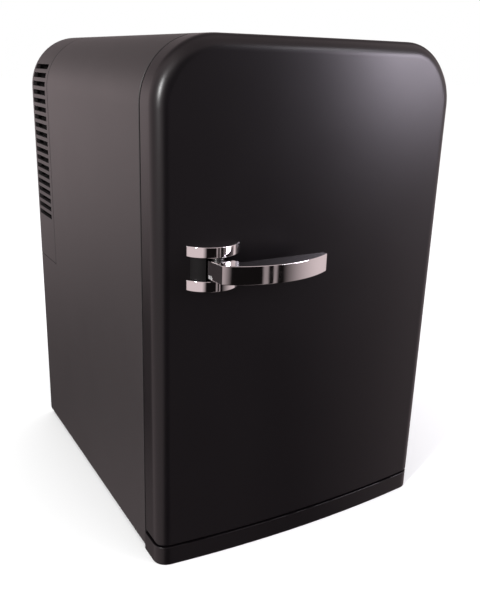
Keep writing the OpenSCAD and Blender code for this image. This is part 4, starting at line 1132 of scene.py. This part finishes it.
screw_set("cover_screw_set", "rear_cover_screws", cover_screws, face + 175 * mm, back - 2.4 * mm, screw_r)
panel_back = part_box("rear_panel")[1].y
screw_set("panel_screw_set", "rear_panel_screws", panel_screws, face + 178 * mm, panel_back, screw_r)
screw_set("plate_screw_set", "cold_plate_screws", plate_screws, plate_low.y + 11 * mm, plate_low.y,
          screw_r, domed=False)
hinge_screw_places = [(79 * mm, z + arm_t / 2 + side * 9 * mm) for z in arm_zs for side in (-1, 1)]
screw_set("hinge_screw_set", "hinge_screws", hinge_screw_places, face + 12 * mm, face, 1.5 * mm,
          domed=False)
screw_set("fan_screw_set", "fan_screws", square_of(35.75 * mm, fan_z), face + 163 * mm, fan_high.y,
          1.6 * mm)
screw_set("sink_screw_set", "heat_sink_screws", square_of(25 * mm, fan_z), face + 137 * mm,
          face + 153 * mm, screw_r)
board_places = [(dx * 55 * mm, z * mm) for dx in (-1, 1) for z in (47, 113)]
screw_set("board_screw_set", "board_screws", board_places, face + 151 * mm, face + 158.6 * mm, 1.2 * mm)

# %% Fan rotor
hub_front, hub_back = (end.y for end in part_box("fan_rotor"))
blade_count = 7


def blade(start):
    """One blade as a closed thin wing. Its chord turns from steep at the hub to flatter at the
    tip, its camber is a shallow arc, and its thickness is that of a wing section."""
    span, around = np.meshgrid(np.linspace(0, 1, 14), np.linspace(0, 2 * np.pi, 24, False),
                               indexing="ij")
    radius = (14 + 22.5 * span) * mm
    chord = (15 + 5 * span) * mm
    pitch = np.radians(46 - 16 * span)
    along = np.cos(around) / 2
    thick = 0.8 * mm * np.sin(around) * np.sqrt(np.clip(0.25 - along ** 2, 0, 1)) * 2
    camber = 1.6 * mm * (1 - 4 * along ** 2)
    u, v = along * chord, thick + camber
    across = u * np.cos(pitch) - v * np.sin(pitch)
    depth = u * np.sin(pitch) + v * np.cos(pitch)
    turn = start + across / radius + 0.25 * span
    mid = (hub_front + hub_back) / 2
    rings = np.stack([radius * np.cos(turn), mid + depth, fan_z + radius * np.sin(turn)], -1)
    rings[..., 1] = np.clip(rings[..., 1], hub_front + 0.2 * mm, hub_back - 0.2 * mm)
    return solid("blade", rings, flat_ends=True)


hub = turned("hub", [(hub_back - 2 * mm, 0), (hub_back - 2 * mm, 12.8 * mm), (hub_front, 13 * mm),
                     (hub_front, 15 * mm), (hub_back - 1.2 * mm, 15 * mm),
                     (hub_back - 0.35 * mm, 14.65 * mm), (hub_back, 13.8 * mm), (hub_back, 9 * mm),
                     (hub_back - 0.3 * mm, 8.7 * mm), (hub_back - 0.3 * mm, 0)], (0, 0, fan_z))
wings = [blade(2 * np.pi * i / blade_count) for i in range(blade_count)]
finish_piece(joined("seven_blade_rotor", [hub] + wings), "fan_rotor")

# %% [markdown]
# ## Parts whose shape is already right
# Frames, blocks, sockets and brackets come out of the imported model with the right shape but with
# knife-sharp edges, which no moulded or cut part has. A copy of each gets a tiny bevel. The
# cabinet's foam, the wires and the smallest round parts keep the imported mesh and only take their
# finish.

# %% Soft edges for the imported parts
def softened(node, edge):
    """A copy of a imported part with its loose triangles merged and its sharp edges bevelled."""
    source = frame["nodes"][node]
    copy = bpy.data.objects.new(node + "_soft", source.data.copy())
    bpy.context.collection.objects.link(copy)
    shape = bmesh.new()
    shape.from_mesh(copy.data)
    bmesh.ops.remove_doubles(shape, verts=shape.verts, dist=2e-6)
    bmesh.ops.dissolve_limit(shape, angle_limit=np.radians(1), verts=shape.verts, edges=shape.edges)
    shape.to_mesh(copy.data)
    shape.free()
    finish_piece(copy, node, edge=edge, angle=40)


soft_edges = {"front_frame": 0.3, "rear_bulkhead": 0.3, "rear_panel": 0.25, "cold_block": 0.4,
              "heat_sink": 0.15, "fan_frame": 0.3, "circuit_board": 0.1, "transformer": 0.4,
              "power_transistor": 0.2, "terminal_block": 0.3, "ac_inlet": 0.25, "dc_socket": 0.25,
              "switch_housing": 0.25, "switch_knob": 0.12, "hinge_arms": 0.25, "latch_keeper": 0.2,
              "latch_hook": 0.25, "peltier_module": 0.1, "module_seal": 0.2, "hinge_blocks": 0.3}
for node, edge in soft_edges.items():
    softened(node, edge)
kept = sorted(set(frame["nodes"]) - {name for piece in made
                                     for name in bpy.data.objects[piece]["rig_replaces"]})
print("made", len(made), "pieces; kept as packed:", kept)
